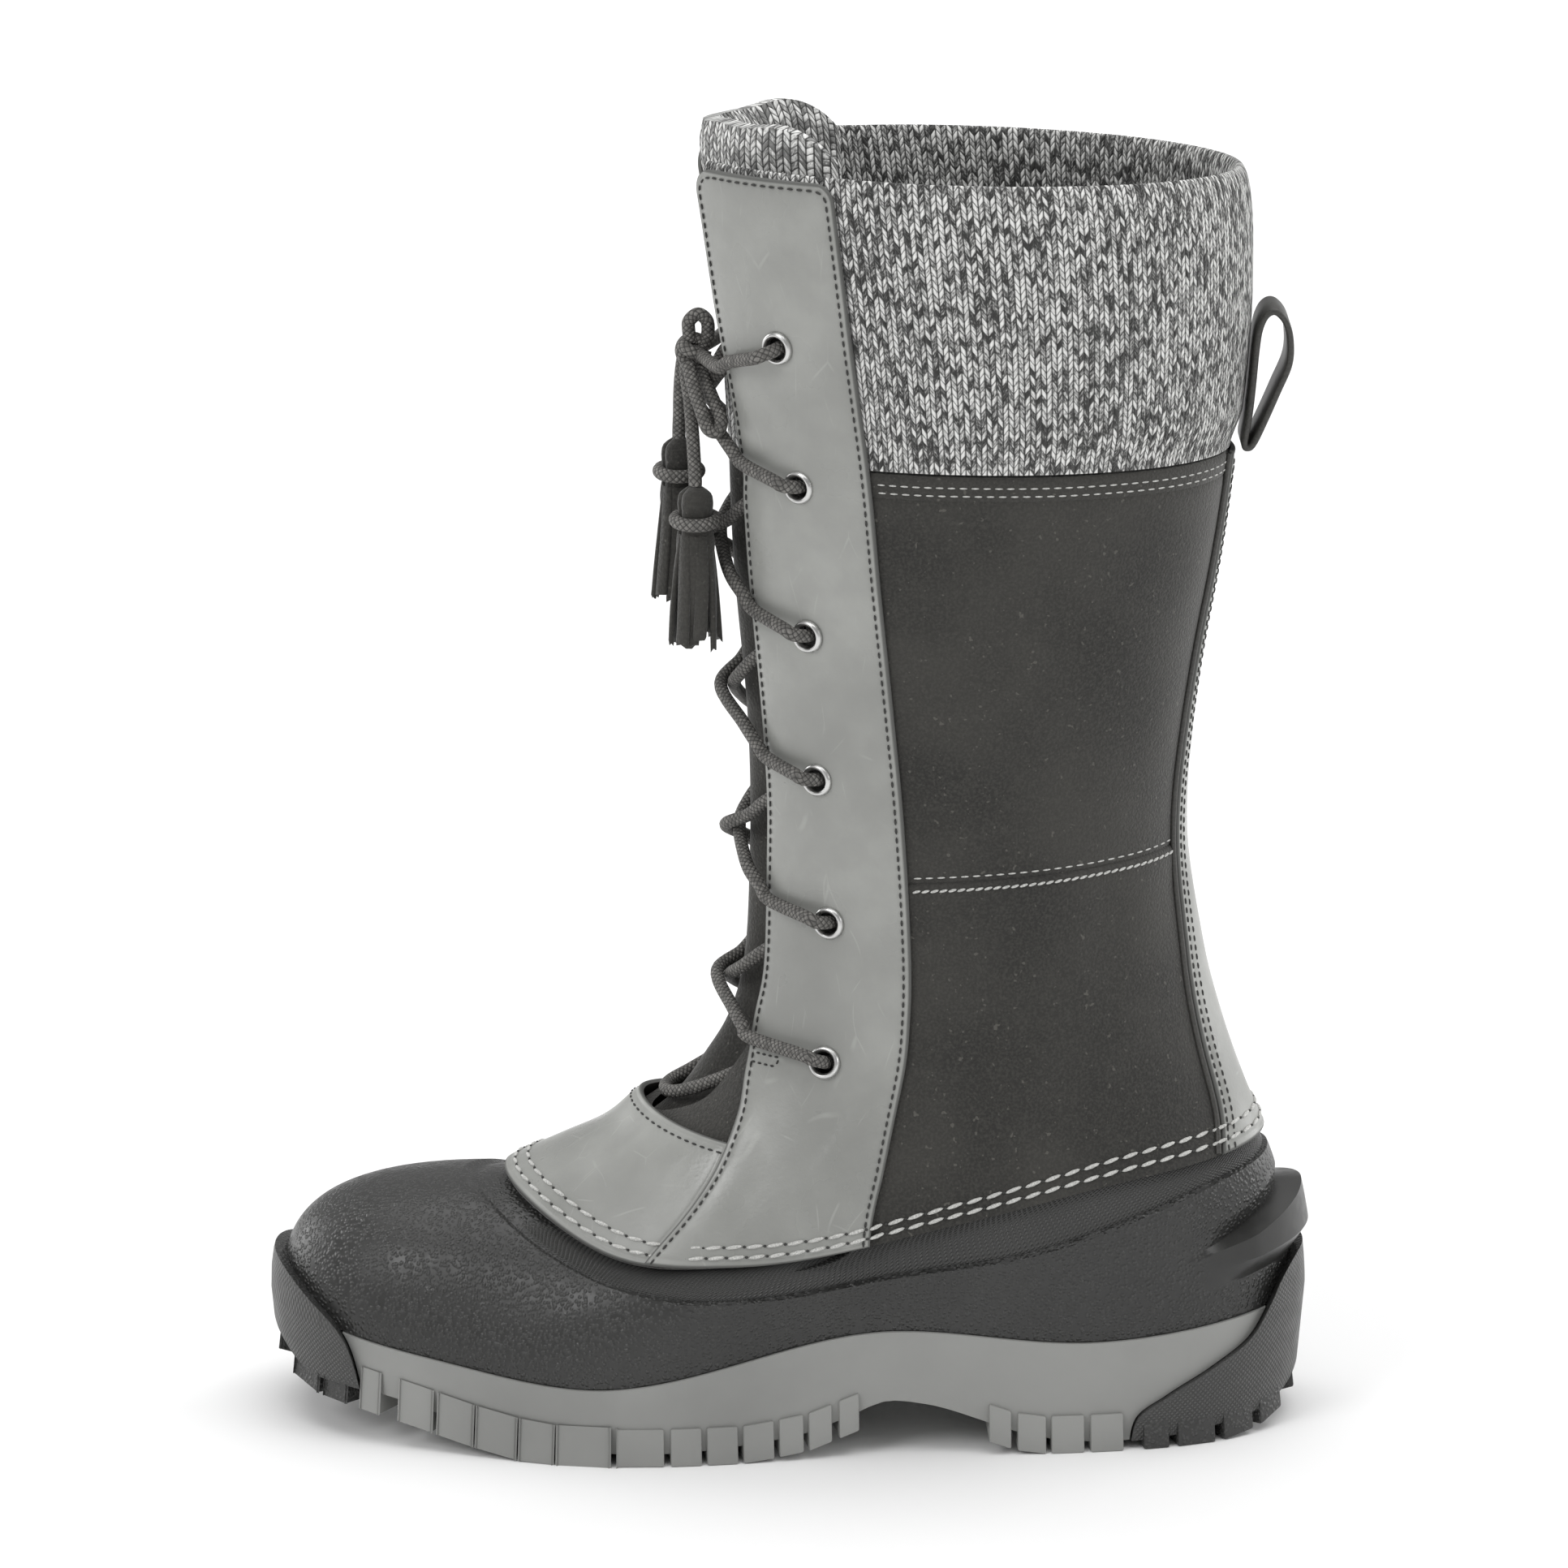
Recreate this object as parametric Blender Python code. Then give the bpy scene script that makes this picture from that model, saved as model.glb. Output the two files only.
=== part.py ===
"""Tall laced winter boot for the left foot: rubber galosh, leather and suede shaft, knitted collar.

Metres, +Z up. The toe points towards -X and the outer side faces -Y. The boot stands on z = 0
with its outline centred on the origin.

Every curved piece follows one form. A place on it is a row (0 at the feather line where the
galosh meets the sole, 1 at the galosh's top line, 3 at the bottom of the throat, 10 at the collar)
and an angle round the boot (0 at the front, 180 at the back, positive on the outer side).
"""

import math
from typing import NamedTuple

import bmesh
import bpy
import numpy as np
from mathutils import Matrix, Vector

# Driving sizes of the form
LENGTH = 0.301
BALL_WIDTH = 0.110
INSTEP_HEIGHT = 0.106
COLLAR_HEIGHT = 0.368
SHAFT_DEPTH = 0.1545
SHAFT_WIDTH = 0.095
SHAFT_SETBACK = 0.049

# Clearance between pieces that meet
GAP = 0.0003
OVERLAY_GAP = 0.0004
TREAD_GAP = 0.0005

# Walls
GALOSH_WALL = 0.003
GALOSH_STEP = 0.001
GALOSH_FLOOR = 0.003
UPPER_WALL = 0.0018
OVERLAY_WALL = 0.0014
CUFF_INNER = 0.0025
CUFF_SWELL = 0.0024
BUMPER_WALL = 0.0035
INSOLE_THICKNESS = 0.0045
TONGUE_WALL = 0.0035
TONGUE_ROLL = 0.010

# Sole
SOLE_FLANGE = 0.001
SOLE_TAPER = 0.002
LUG_DEPTH = 0.005
LUG_PROUD = 0.0015
LUG_FACE = 0.013
LUG_REACH = 0.019
LUG_ROOT = 0.0015
CENTRE_LUG_WIDTH = 0.026
KICK_REACH = 0.0062

# Throat, eyelets and laces
THROAT_HALF_WIDTH = 0.017
THROAT_MARGIN = 0.0022
LIP_RISE = 0.0026
EYELET_BORE = 0.0060
EYELET_FLANGE = 0.0096
EYELET_BARREL = 0.00035
EYELET_CROWN = 0.0009
EYELET_DEPTH = 0.0010
EYELET_SEAT = 0.0005
LACE_DIAMETER = 0.0038
KNOT_SIZE = 0.0104
TASSEL_LENGTH = 0.046
TASSEL_WIDTH = 0.013
STRIP_WIDTH = 0.0036
STRIP_THICKNESS = 0.0016

# Pull loop
PULL_WIDTH = 0.020
PULL_STRAP = 0.0018
PULL_REACH = 0.0155

# Fineness of the solids, and how far the faceted eyelet holes are turned
AROUND = 36
EYELET_STEPS = 8
CORD_SIDES = 6
STRAND_RINGS = 12
HOLE_PHASE = math.radians(13)

# Rows of the form
FEATHER, TOP_LINE, RIM_ROW, THROAT_ROW, SEAM_ROW, COLLAR_ROW = 0.0, 1.0, 1.35, 2.25, 7.93, 10.0

LEATHER = (0.31, 0.31, 0.29)
SUEDE = (0.048, 0.047, 0.040)
RUBBER = (0.045, 0.045, 0.043)
DARK_RUBBER = (0.06, 0.06, 0.058)
GREY_RUBBER = (0.30, 0.30, 0.29)
KNIT = (0.20, 0.20, 0.19)
LACE = (0.13, 0.125, 0.115)
METAL = (0.75, 0.75, 0.74)

# Places along the boot, from its front to its back, where the tables give a value
STATIONS = (0.0, 0.15, 0.3, 0.6, 0.8, 1.0)


class FootRing(NamedTuple):
    """Ring round the foot: ends in LENGTH, half width and swing in BALL_WIDTH, heights in INSTEP_HEIGHT."""

    front: float
    back: float
    half_width: float
    heights: tuple
    fullness: tuple
    swing: tuple


class ShaftRing(NamedTuple):
    """Ring round the shaft: ends in SHAFT_DEPTH, half width in SHAFT_WIDTH, heights in the shaft's rise."""

    front: float
    back: float
    half_width: float
    front_height: float
    back_height: float


NO_SWING = (0.0, 0.0, 0.0, 0.0, 0.0, 0.0)
FOOT_RINGS = (
    FootRing(
        front=-0.482, back=0.4835, half_width=0.482,
        heights=(0.325, 0.258, 0.212, 0.352, 0.308, 0.360),
        fullness=(1.38, 1.14, 1.075, 0.82, 0.95, 1.20),
        swing=(0.064, 0.041, 0.0, -0.014, 0.0, 0.0),
    ),
    FootRing(
        front=-0.266, back=0.447, half_width=0.427,
        heights=(0.650, 0.530, 0.535, 0.651, 0.741, 0.792),
        fullness=(1.20, 1.22, 1.10, 0.97, 1.03, 1.15),
        swing=(0.020, 0.015, 0.0, 0.0, 0.0, 0.0),
    ),
    FootRing(
        front=-0.150, back=0.428, half_width=0.391,
        heights=(0.811, 0.774, 0.774, 0.830, 0.877, 0.906),
        fullness=(1.10, 1.10, 1.05, 0.97, 1.00, 1.05),
        swing=(0.010, 0.005, 0.0, 0.0, 0.0, 0.0),
    ),
    FootRing(
        front=-0.073, back=0.405, half_width=0.373,
        heights=(0.991, 0.991, 1.000, 1.030, 1.065, 1.094),
        fullness=(1.05, 1.04, 1.02, 0.98, 1.00, 1.03),
        swing=NO_SWING,
    ),
)
SHAFT_RINGS = (
    ShaftRing(front=-0.388, back=0.430, half_width=0.421, front_height=0.084, back_height=0.130),
    ShaftRing(front=-0.370, back=0.401, half_width=0.426, front_height=0.225, back_height=0.252),
    ShaftRing(front=-0.373, back=0.408, half_width=0.442, front_height=0.378, back_height=0.389),
    ShaftRing(front=-0.398, back=0.449, half_width=0.468, front_height=0.550, back_height=0.550),
    ShaftRing(front=-0.416, back=0.480, half_width=0.489, front_height=0.702, back_height=0.695),
    ShaftRing(front=-0.459, back=0.500, half_width=0.500, front_height=0.855, back_height=0.836),
    ShaftRing(front=-0.502, back=0.498, half_width=0.503, front_height=1.008, back_height=0.992),
)
# How square the galosh's wall is between the feather line and the top line, at each station
SQUARENESS = (2.8, 1.7, 1.7, 1.6, 1.5, 1.6)

# Rows that the solids of the leg have their sections at
LEG_ROWS = (1.0, 1.35, 1.7, 2.0, 2.35, 2.7, 3.0, 3.4, 3.9, 4.9, 5.9, 6.9, 7.93)
VAMP_ROWS = (1.0, 1.2, 1.35, 1.55, 1.7, 1.85, 2.0, 2.12, 2.25)
# Half angle of the vamp's lip that lifts over the lace
LIP_ANGLE = 30.0

# Row of the textured band's lower edge, by angle
BAND_ANGLES = (0.0, 23.0, 44.0, 62.0, 75.0, 90.0, 109.0, 132.0, 150.0, 180.0)
BAND_ROWS = (0.95, 0.93, 0.81, 0.64, 0.52, 0.41, 0.44, 0.60, 0.71, 0.77)
# Kick ledge: where it starts, and its rows as shares of the band's row, at its ends and at the back
KICK_START = 138.0
KICK_UNDER, KICK_LOW = 0.29, 0.42
KICK_END, KICK_TOP, KICK_LIP = 0.50, 0.64, 0.035

# Tread line seen from the side: (along in LENGTH, height in INSTEP_HEIGHT)
TREAD = (
    (-0.520, 0.300), (-0.485, 0.170), (-0.463, 0.120), (-0.409, 0.100), (-0.352, 0.071), (-0.316, 0.042),
    (-0.269, 0.016), (-0.233, 0.0), (-0.033, 0.0), (0.023, 0.026), (0.063, 0.070), (0.093, 0.104),
    (0.133, 0.094), (0.186, 0.045), (0.209, 0.020), (0.233, 0.0), (0.415, 0.0), (0.458, 0.022),
    (0.485, 0.066), (0.500, 0.130), (0.530, 0.250),
)
# Toe and heel bumper edges seen from the side: (along in LENGTH, height in INSTEP_HEIGHT)
TOE_EDGE = (
    (-0.560, 0.450), (-0.492, 0.440), (-0.460, 0.380), (-0.424, 0.290), (-0.407, 0.150), (-0.405, -0.2),
)
HEEL_EDGE = (
    (0.326, -0.2), (0.327, 0.0), (0.334, 0.085), (0.362, 0.142), (0.409, 0.217), (0.444, 0.283),
    (0.463, 0.368), (0.474, 0.425), (0.486, 0.464), (0.560, 0.464),
)
# Edge lugs of each material, first and last point along the boot, in LENGTH
SOLE_LUGS = (
    (-0.400, -0.384), (-0.364, -0.334), (-0.327, -0.295), (-0.290, -0.254), (-0.249, -0.219),
    (-0.214, -0.167), (-0.160, -0.116), (-0.110, -0.081), (-0.076, -0.047), (-0.042, -0.013),
    (-0.008, 0.015), (0.020, 0.042), (0.049, 0.068), (0.192, 0.213), (0.219, 0.246),
    (0.251, 0.282), (0.288, 0.319),
)
TOE_LUGS = ((-0.462, -0.440), (-0.434, -0.414))
HEEL_LUGS = ((0.338, 0.362), (0.370, 0.405), (0.413, 0.440), (0.447, 0.466))
END_LUG_ANGLE = 9.0
CENTRE_LUGS = (
    (-0.350, -0.315), (-0.295, -0.258), (-0.238, -0.201), (-0.181, -0.144), (-0.124, -0.087),
    (-0.067, -0.030), (-0.010, 0.020), (0.215, 0.250), (0.268, 0.303),
)

# Edges of the leather pieces: (row, angle)
FACING_FRONT = ((1.0, 51.5), (1.6, 49.5), (2.1, 45.5), (2.6, 39.5), (3.1, 32.0), (3.9, 24.5), (5.0, 23.0))
FACING_REAR = (
    (1.0, 88.0), (1.85, 81.5), (2.8, 76.5), (3.65, 75.0), (5.1, 73.5), (6.3, 69.5), (7.25, 66.0),
    (8.2, 63.5), (10.0, 62.5),
)
BACKSTAY_EDGE = ((1.0, 153.0), (2.0, 156.0), (3.3, 157.0), (5.0, 162.0), (6.3, 166.0), (7.93, 172.0))
FACING_TOP = 9.97

# Tongue by row: offset of its middle and of its sides from the form, thickness as a share from wall to roll,
# and how far round it reaches
TONGUE_ROWS = (
    (1.60, 0.0, 0.0, 0.0, 36.0), (2.05, -0.0012, -0.0035, 0.0, 36.0),
    (2.5, -0.0004, -0.0046, 0.0, 36.0), (3.0, 0.0020, -0.0046, 0.0, 37.0),
    (3.5, 0.0024, -0.0046, 0.0, 37.0), (4.0, 0.0024, -0.0046, 0.0, 37.0), (5.0, 0.0024, -0.0046, 0.0, 37.0),
    (6.0, 0.0024, -0.0046, 0.0, 37.0), (7.0, 0.0024, -0.0050, 0.0, 38.0), (7.8, 0.0018, -0.0074, 0.1, 42.0),
    (8.4, 0.0000, -0.0074, 0.7, 50.0), (9.0, -0.0043, -0.0074, 1.0, 56.0), (9.55, -0.0078, -0.0078, 1.0, 60.0),
    (9.88, -0.0095, -0.0095, 0.7, 61.0), (10.0, -0.0110, -0.0110, 0.2, 61.0),
)
TONGUE_HUMP = 19.0

# Eyelets of one side, from the lowest: (row, angle)
EYELETS = ((3.35, 55.0), (4.70, 51.0), (5.78, 47.0), (6.73, 46.0), (7.78, 45.0), (8.78, 43.5))


# Lace from an eyelet to the next one of the other side: share of the rise between them, angle as a share of
# the throat edge's (1 near, -1 far), and degrees on from there
OVER_EDGE = ((0.12, 1.0, 6.0), (0.20, 1.0, 1.5), (0.32, 0.72, 0.0))
UNDER_EDGE = (
    (0.62, -0.42, 0.0), (0.74, -0.74, 0.0), (0.82, -1.0, 0.0), (0.87, -1.0, -4.0), (0.90, -1.0, -7.5),
)
# Lowest lace, from its middle under the vamp's lip to its hidden end: row, angle, offset
BAR = ((2.44, 0.0, 0.0024), (2.48, 7.0, 0.0021), (2.66, 13.0, 0.0008), (2.95, 20.0, -0.0010),
       (3.16, 26.0, -0.0021), (3.30, 33.0, -0.0023))

# Knot: its place on the form, the tilt of its two wraps, and how far from its centre the top laces end.
# Loops and ends from its centre, in lace diameters along X, Y and Z
KNOT_WRAPS = ((27.0, "Y"), (79.0, "X"))
KNOT_TAIL = 0.4
KNOT_PLACE = (8.63, 7.0, 0.0076)
TOP_LOOP = ((-0.33, 0.0, 1.46), (-0.30, 0.0, 2.20), (0.36, 0.0, 2.72), (1.02, 0.0, 2.20), (1.06, 0.0, 1.10))
LOW_LOOP = (
    (0.50, -0.50, -1.30), (1.0, -1.45, -2.3), (1.62, -2.65, -3.5), (2.08, -3.40, -4.6), (1.78, -3.65, -5.35),
    (1.08, -3.62, -5.1), (0.62, -3.2, -3.9), (0.05, -2.35, -2.3), (-0.40, -1.36, -0.72),
)
NEAR_END = (
    (-0.55, -0.30, -1.32), (-0.25, -0.95, -3.6), (-0.05, -1.75, -6.0), (0.10, -2.45, -8.2),
    (0.15, -2.75, -9.2), (0.15, -2.75, -9.6),
)
FAR_END = (
    (-0.80, 0.80, -0.95), (-1.0, 1.05, -3.0), (-1.05, 1.20, -4.9), (-1.1, 1.30, -6.3), (-1.1, 1.30, -6.8),
)

# Tassel by share of its length from the top: half width as a share of TASSEL_WIDTH
TASSEL_CORE = (
    (0.0, 0.22), (0.04, 0.36), (0.14, 0.38), (0.17, 0.58), (0.24, 0.58), (0.27, 0.40), (0.50, 0.34),
)
STRIP_ROOT = (0.33, 0.34)
# Strips: degrees round the tassel, spread at the lower end as a share of TASSEL_WIDTH, end as a share of
# TASSEL_LENGTH
STRIPS = (
    (8.0, 0.54, 0.97), (57.0, 0.50, 1.0), (112.0, 0.56, 0.95), (160.0, 0.48, 0.99), (211.0, 0.55, 0.96),
    (262.0, 0.50, 1.0), (313.0, 0.53, 0.93),
)

# Pull loop's middle line, round from its sewn foot: row, and reach from the form as a share of PULL_REACH
PULL_LINE = (
    (7.985, 0.360), (8.20, 0.385), (8.45, 0.385), (8.72, 0.385), (8.88, 0.42), (8.98, 0.53), (9.00, 0.70),
    (8.92, 0.89), (8.78, 0.99), (8.60, 1.0), (8.38, 0.84), (8.14, 0.66), (7.99, 0.53), (7.95, 0.44),
)


class Shape:
    """The boot's form as a function of angle and row."""

    def __init__(self) -> None:
        self.foot = [self._foot_terms(ring) for ring in FOOT_RINGS]
        self.shaft = [self._shaft_terms(ring) for ring in SHAFT_RINGS]

    @staticmethod
    def _foot_terms(ring: FootRing):
        front, back = ring.front * LENGTH, ring.back * LENGTH
        widths = [ring.half_width * BALL_WIDTH * value for value in ring.fullness]
        swings = [BALL_WIDTH * value for value in ring.swing]
        heights = [INSTEP_HEIGHT * value for value in ring.heights]
        return front, back, widths, swings, heights

    @staticmethod
    def _shaft_terms(ring: ShaftRing):
        rise = COLLAR_HEIGHT - INSTEP_HEIGHT
        front, back = SHAFT_SETBACK + ring.front * SHAFT_DEPTH, SHAFT_SETBACK + ring.back * SHAFT_DEPTH
        low, high = INSTEP_HEIGHT + ring.front_height * rise, INSTEP_HEIGHT + ring.back_height * rise
        widths = [ring.half_width * SHAFT_WIDTH] * len(STATIONS)
        heights = [low + (high - low) * station for station in STATIONS]
        return front, back, widths, NO_SWING, heights

    def rings(self, theta: np.ndarray) -> np.ndarray:
        """Points of every ring at each angle: rings, angles, xyz."""
        share = (1 - np.cos(theta)) / 2
        points = []
        for front, back, widths, swings, heights in self.foot + self.shaft:
            side = smooth(STATIONS, swings, share) - smooth(STATIONS, widths, share) * np.sin(theta)
            rise = smooth(STATIONS, heights, share)
            points.append(np.stack([front + (back - front) * share, side, rise], -1))
        return np.array(points)

    def surface(self, degrees, row) -> np.ndarray:
        """Points on the form."""
        degrees, row = np.broadcast_arrays(np.asarray(degrees, float), np.asarray(row, float))
        theta, flat = np.radians(degrees.ravel()), row.ravel()
        rings = self.rings(theta)
        share = (1 - np.cos(theta)) / 2
        turn = np.clip(flat, 0, 1) * math.pi / 2
        power = 2 / smooth(STATIONS, SQUARENESS, share)
        inward, upward = 1 - np.cos(turn) ** power, np.sin(turn) ** power
        wall = rings[0] + (rings[1] - rings[0]) * np.stack([inward, inward, upward], -1)
        above, slopes = rings[1:], np.gradient(rings[1:], axis=0)
        place = np.maximum(flat - 1, 0)
        first = np.minimum(place.astype(int), len(above) - 2)
        column = np.arange(len(theta))
        u = (place - first)[:, None]
        start, end = above[first, column], above[first + 1, column]
        rise, fall = slopes[first, column], slopes[first + 1, column]
        leg = hermite(u, start, end, rise, fall)
        return np.where(flat[:, None] < 1, wall, leg).reshape(degrees.shape + (3,))

    def normal(self, degrees, row) -> np.ndarray:
        """Outward unit normals of the form."""
        degrees, row = np.broadcast_arrays(np.asarray(degrees, float), np.asarray(row, float))
        step = 1e-3
        low = np.where(row >= 1, np.maximum(row - step, 1.0), np.maximum(row - step, 0.0))
        high = np.where(row < 1, np.minimum(row + step, 1.0 - 1e-4), row + step)
        up = self.surface(degrees, high) - self.surface(degrees, low)
        along = self.surface(degrees + 0.05, row) - self.surface(degrees - 0.05, row)
        across = np.cross(along, up)
        return across / np.linalg.norm(across, axis=-1, keepdims=True)

    def layer(self, degrees, row, offset) -> np.ndarray:
        """Points at a distance outward from the form."""
        offset = np.asarray(offset, float)[..., None]
        return self.surface(degrees, row) + self.normal(degrees, row) * offset

    def angle_at(self, along: float) -> float:
        """Angle on the outer side of the feather line at this place along the boot."""
        front, back = self.foot[0][:2]
        share = min(max((along - front) / (back - front), 0.0), 1.0)
        return math.degrees(math.acos(1 - 2 * share))

    def angle_of_width(self, row: float, half_width: float) -> float:
        """Angle at the front where the form is this far from the middle plane."""
        degrees = np.linspace(0, 80, 161)
        return float(np.interp(half_width, np.abs(self.surface(degrees, row)[:, 1]), degrees))

    def rows_for(self, distance: float, row: float) -> float:
        """How many rows this distance up the form takes."""
        sides = np.array([30.0, 90.0, 150.0])
        step = self.surface(sides, row + 0.05) - self.surface(sides, row - 0.05)
        pitch = np.linalg.norm(step, axis=-1) / 0.1
        return distance / float(pitch.min())


def hermite(u, start, end, rise, fall):
    """Cubic from start to end with the given slopes at its ends."""
    return (
        (1 + 2 * u) * (1 - u) ** 2 * start
        + u * (1 - u) ** 2 * rise
        + u * u * (3 - 2 * u) * end
        + u * u * (u - 1) * fall
    )


def smooth(knots, values, at):
    """Smooth curve through the values at the knots."""
    knots, values, at = np.asarray(knots, float), np.asarray(values, float), np.asarray(at, float)
    slopes = np.gradient(values, knots)
    first = np.clip(np.searchsorted(knots, at, side="right") - 1, 0, len(knots) - 2)
    span = knots[first + 1] - knots[first]
    u = (at - knots[first]) / span
    return hermite(u, values[first], values[first + 1], slopes[first] * span, slopes[first + 1] * span)


def ease(value):
    """Rise from 0 to 1 with flat ends."""
    value = np.clip(value, 0.0, 1.0)
    return value * value * (3 - 2 * value)


def edge_angle(edge, row):
    """Angle of a pattern edge at a row."""
    rows, angles = zip(*edge)
    return smooth(rows, angles, np.clip(row, rows[0], rows[-1]))


SHAPE = Shape()
TURN = np.linspace(0.0, 360.0, AROUND + 1)
UPPER_INNER = GAP
UPPER_OUTER = GAP + UPPER_WALL
OVERLAY_INNER = UPPER_OUTER + OVERLAY_GAP
OVERLAY_OUTER = OVERLAY_INNER + OVERLAY_WALL
LACE_RADIUS = LACE_DIAMETER / 2


def collection(name: str) -> bpy.types.Collection:
    """Make a collection under the scene."""
    made = bpy.data.collections.new(name)
    bpy.context.scene.collection.children.link(made)
    return made


def material(name: str, colour, roughness: float, metallic: float = 0.0) -> bpy.types.Material:
    """Principled material of one colour."""
    made = bpy.data.materials.new(name)
    made.use_nodes = True
    shader = made.node_tree.nodes["Principled BSDF"]
    shader.inputs["Base Color"].default_value = (*colour, 1.0)
    shader.inputs["Roughness"].default_value = roughness
    shader.inputs["Metallic"].default_value = metallic
    return made


class Workshop:
    """Collections that the pieces and the cutters go into."""

    def __init__(self) -> None:
        for old in list(bpy.data.objects):
            bpy.data.objects.remove(old)
        self.parts = collection("laced_boot")
        self.cutters = collection("cutters")

    def part(self, name: str, mesh, finish: tuple) -> bpy.types.Object:
        """Put a mesh or curve in the part as a finished piece."""
        made = bpy.data.objects.new(name, mesh)
        made.data.materials.append(material(name, *finish))
        self.parts.objects.link(made)
        return made

    def cutter(self, name: str, mesh) -> bpy.types.Object:
        """Put a mesh among the cutters, hidden from renders."""
        made = bpy.data.objects.new(name, mesh)
        made.hide_render = True
        made.display_type = "WIRE"
        self.cutters.objects.link(made)
        return made


def skin(name: str, rows) -> bpy.types.Mesh:
    """Closed mesh from a grid of points: coinciding points are joined, which closes its seams and ends."""
    rows = np.asarray(rows)
    solid = bmesh.new()
    bmesh.ops.create_grid(solid, x_segments=rows.shape[1] - 1, y_segments=rows.shape[0] - 1, size=1)
    for vert, point in zip(solid.verts, rows.reshape(-1, 3)):
        vert.co = Vector(point)
    bmesh.ops.remove_doubles(solid, verts=solid.verts[:], dist=1e-6)
    bmesh.ops.recalc_face_normals(solid, faces=solid.faces[:])
    mesh = bpy.data.meshes.new(name)
    solid.to_mesh(mesh)
    solid.free()
    return mesh


def outlined(name: str, outline, low_y: float, high_y: float) -> bpy.types.Mesh:
    """Concave outline in x and z as a solid between two depths."""
    solid = bmesh.new()
    verts = [solid.verts.new((x, low_y, z)) for x, z in outline]
    face = solid.faces.new(verts)
    moved = bmesh.ops.extrude_face_region(solid, geom=[face])["geom"]
    sides = [item for item in moved if isinstance(item, bmesh.types.BMVert)]
    bmesh.ops.translate(solid, verts=sides, vec=(0, high_y - low_y, 0))
    bmesh.ops.recalc_face_normals(solid, faces=solid.faces[:])
    mesh = bpy.data.meshes.new(name)
    solid.to_mesh(mesh)
    solid.free()
    return mesh


def block(solid: bmesh.types.BMesh, corners) -> None:
    """Add a cube moved to eight corners: four below, then four above."""
    verts = bmesh.ops.create_cube(solid, size=1)["verts"]
    below = sorted((v for v in verts if v.co.z < 0), key=lambda v: math.atan2(v.co.y, v.co.x))
    above = sorted((v for v in verts if v.co.z > 0), key=lambda v: math.atan2(v.co.y, v.co.x))
    for vert, corner in zip(below + above, corners):
        vert.co = Vector(corner)


def boolean(piece: bpy.types.Object, other: bpy.types.Object, operation: str = "DIFFERENCE") -> None:
    """Cut, join or trim a piece by another."""
    step = piece.modifiers.new(f"{operation.lower()}_{other.name}", "BOOLEAN")
    step.operation = operation
    step.solver = "EXACT"
    step.use_self = operation == "UNION"
    step.object = other


def collapsed(ring: np.ndarray) -> np.ndarray:
    """The ring drawn in to the line along its middle, which closes a floor or a lid."""
    return (ring + ring[::-1]) / 2


def ring(row, offset, lift: float = 0.0) -> np.ndarray:
    """Ring round the form at a row and an offset, which may both change with the angle."""
    return SHAPE.layer(TURN, np.broadcast_to(row, TURN.shape), offset) + (0.0, 0.0, lift)


def from_back(start: float) -> np.ndarray:
    """Share from 0 at an angle to 1 at the back, on both sides."""
    away = np.minimum(TURN, 360.0 - TURN)
    return ease((away - start) / (180.0 - start))


def band_rows() -> np.ndarray:
    """Row of the textured band's lower edge all round."""
    return smooth(BAND_ANGLES, BAND_ROWS, np.minimum(TURN, 360.0 - TURN))


def galosh_mesh() -> bpy.types.Mesh:
    """Rubber cup with floor, kick ledge, stepped band and a rim that goes up inside the leather."""
    band = band_rows()
    back = from_back(KICK_START)
    ledge = KICK_END + (KICK_TOP - KICK_END) * back
    reach = GALOSH_STEP + KICK_REACH * ease(back * 2)
    sole_ring = ring(FEATHER, GALOSH_STEP)
    outside = [
        ring(KICK_UNDER * band, GALOSH_STEP),
        ring(KICK_LOW * band, reach),
        ring(ledge * band, reach),
        ring((ledge + KICK_LIP) * band, GALOSH_STEP),
        ring(band, GALOSH_STEP),
        ring(band + 0.02, 0.0),
        ring(TOP_LINE, 0.0),
        ring(RIM_ROW, 0.0),
    ]
    inside = [ring(row, -GALOSH_WALL) for row in (RIM_ROW, TOP_LINE, 0.7, 0.3)]
    floor = ring(FEATHER, -GALOSH_WALL, GALOSH_FLOOR)
    return skin("galosh", [collapsed(sole_ring), sole_ring, *outside, *inside, floor, collapsed(floor)])


def footing(name: str, offset: float, top_row: float, taper: float = 0.0, gap: float = 0.0) -> bpy.types.Mesh:
    """Solid foot outside the form, from below the ground up to a row."""
    rows = [top_row * share for share in (1.0, 0.6, 0.3) if top_row > 0] + [FEATHER]
    rings = [ring(row, offset, -gap) for row in rows]
    below = ring(FEATHER, offset - taper)
    below[:, 2] = -2 * LUG_DEPTH
    return skin(name, [collapsed(rings[0]), *rings, below, collapsed(below)])


def galosh_clearance(name: str) -> bpy.types.Mesh:
    """The galosh as a plain solid, one gap larger, which cuts the bumpers' inner faces."""
    rings = [ring(row, GALOSH_STEP + GAP) for row in (0.9, 0.6, 0.4, 0.2)]
    base = ring(FEATHER, GALOSH_STEP + GAP, -GAP)
    return skin(name, [collapsed(rings[0]), *rings, base, collapsed(base)])


def tread_outline(raised: float) -> list:
    """The tread line as a closed outline, with the ground below it."""
    along, heights = (np.array(column) for column in zip(*TREAD))
    low = -6 * LUG_DEPTH
    top = [(x * LENGTH, z * INSTEP_HEIGHT + raised) for x, z in zip(along, heights)]
    return [(top[0][0], low), *top, (top[-1][0], low)]


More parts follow.
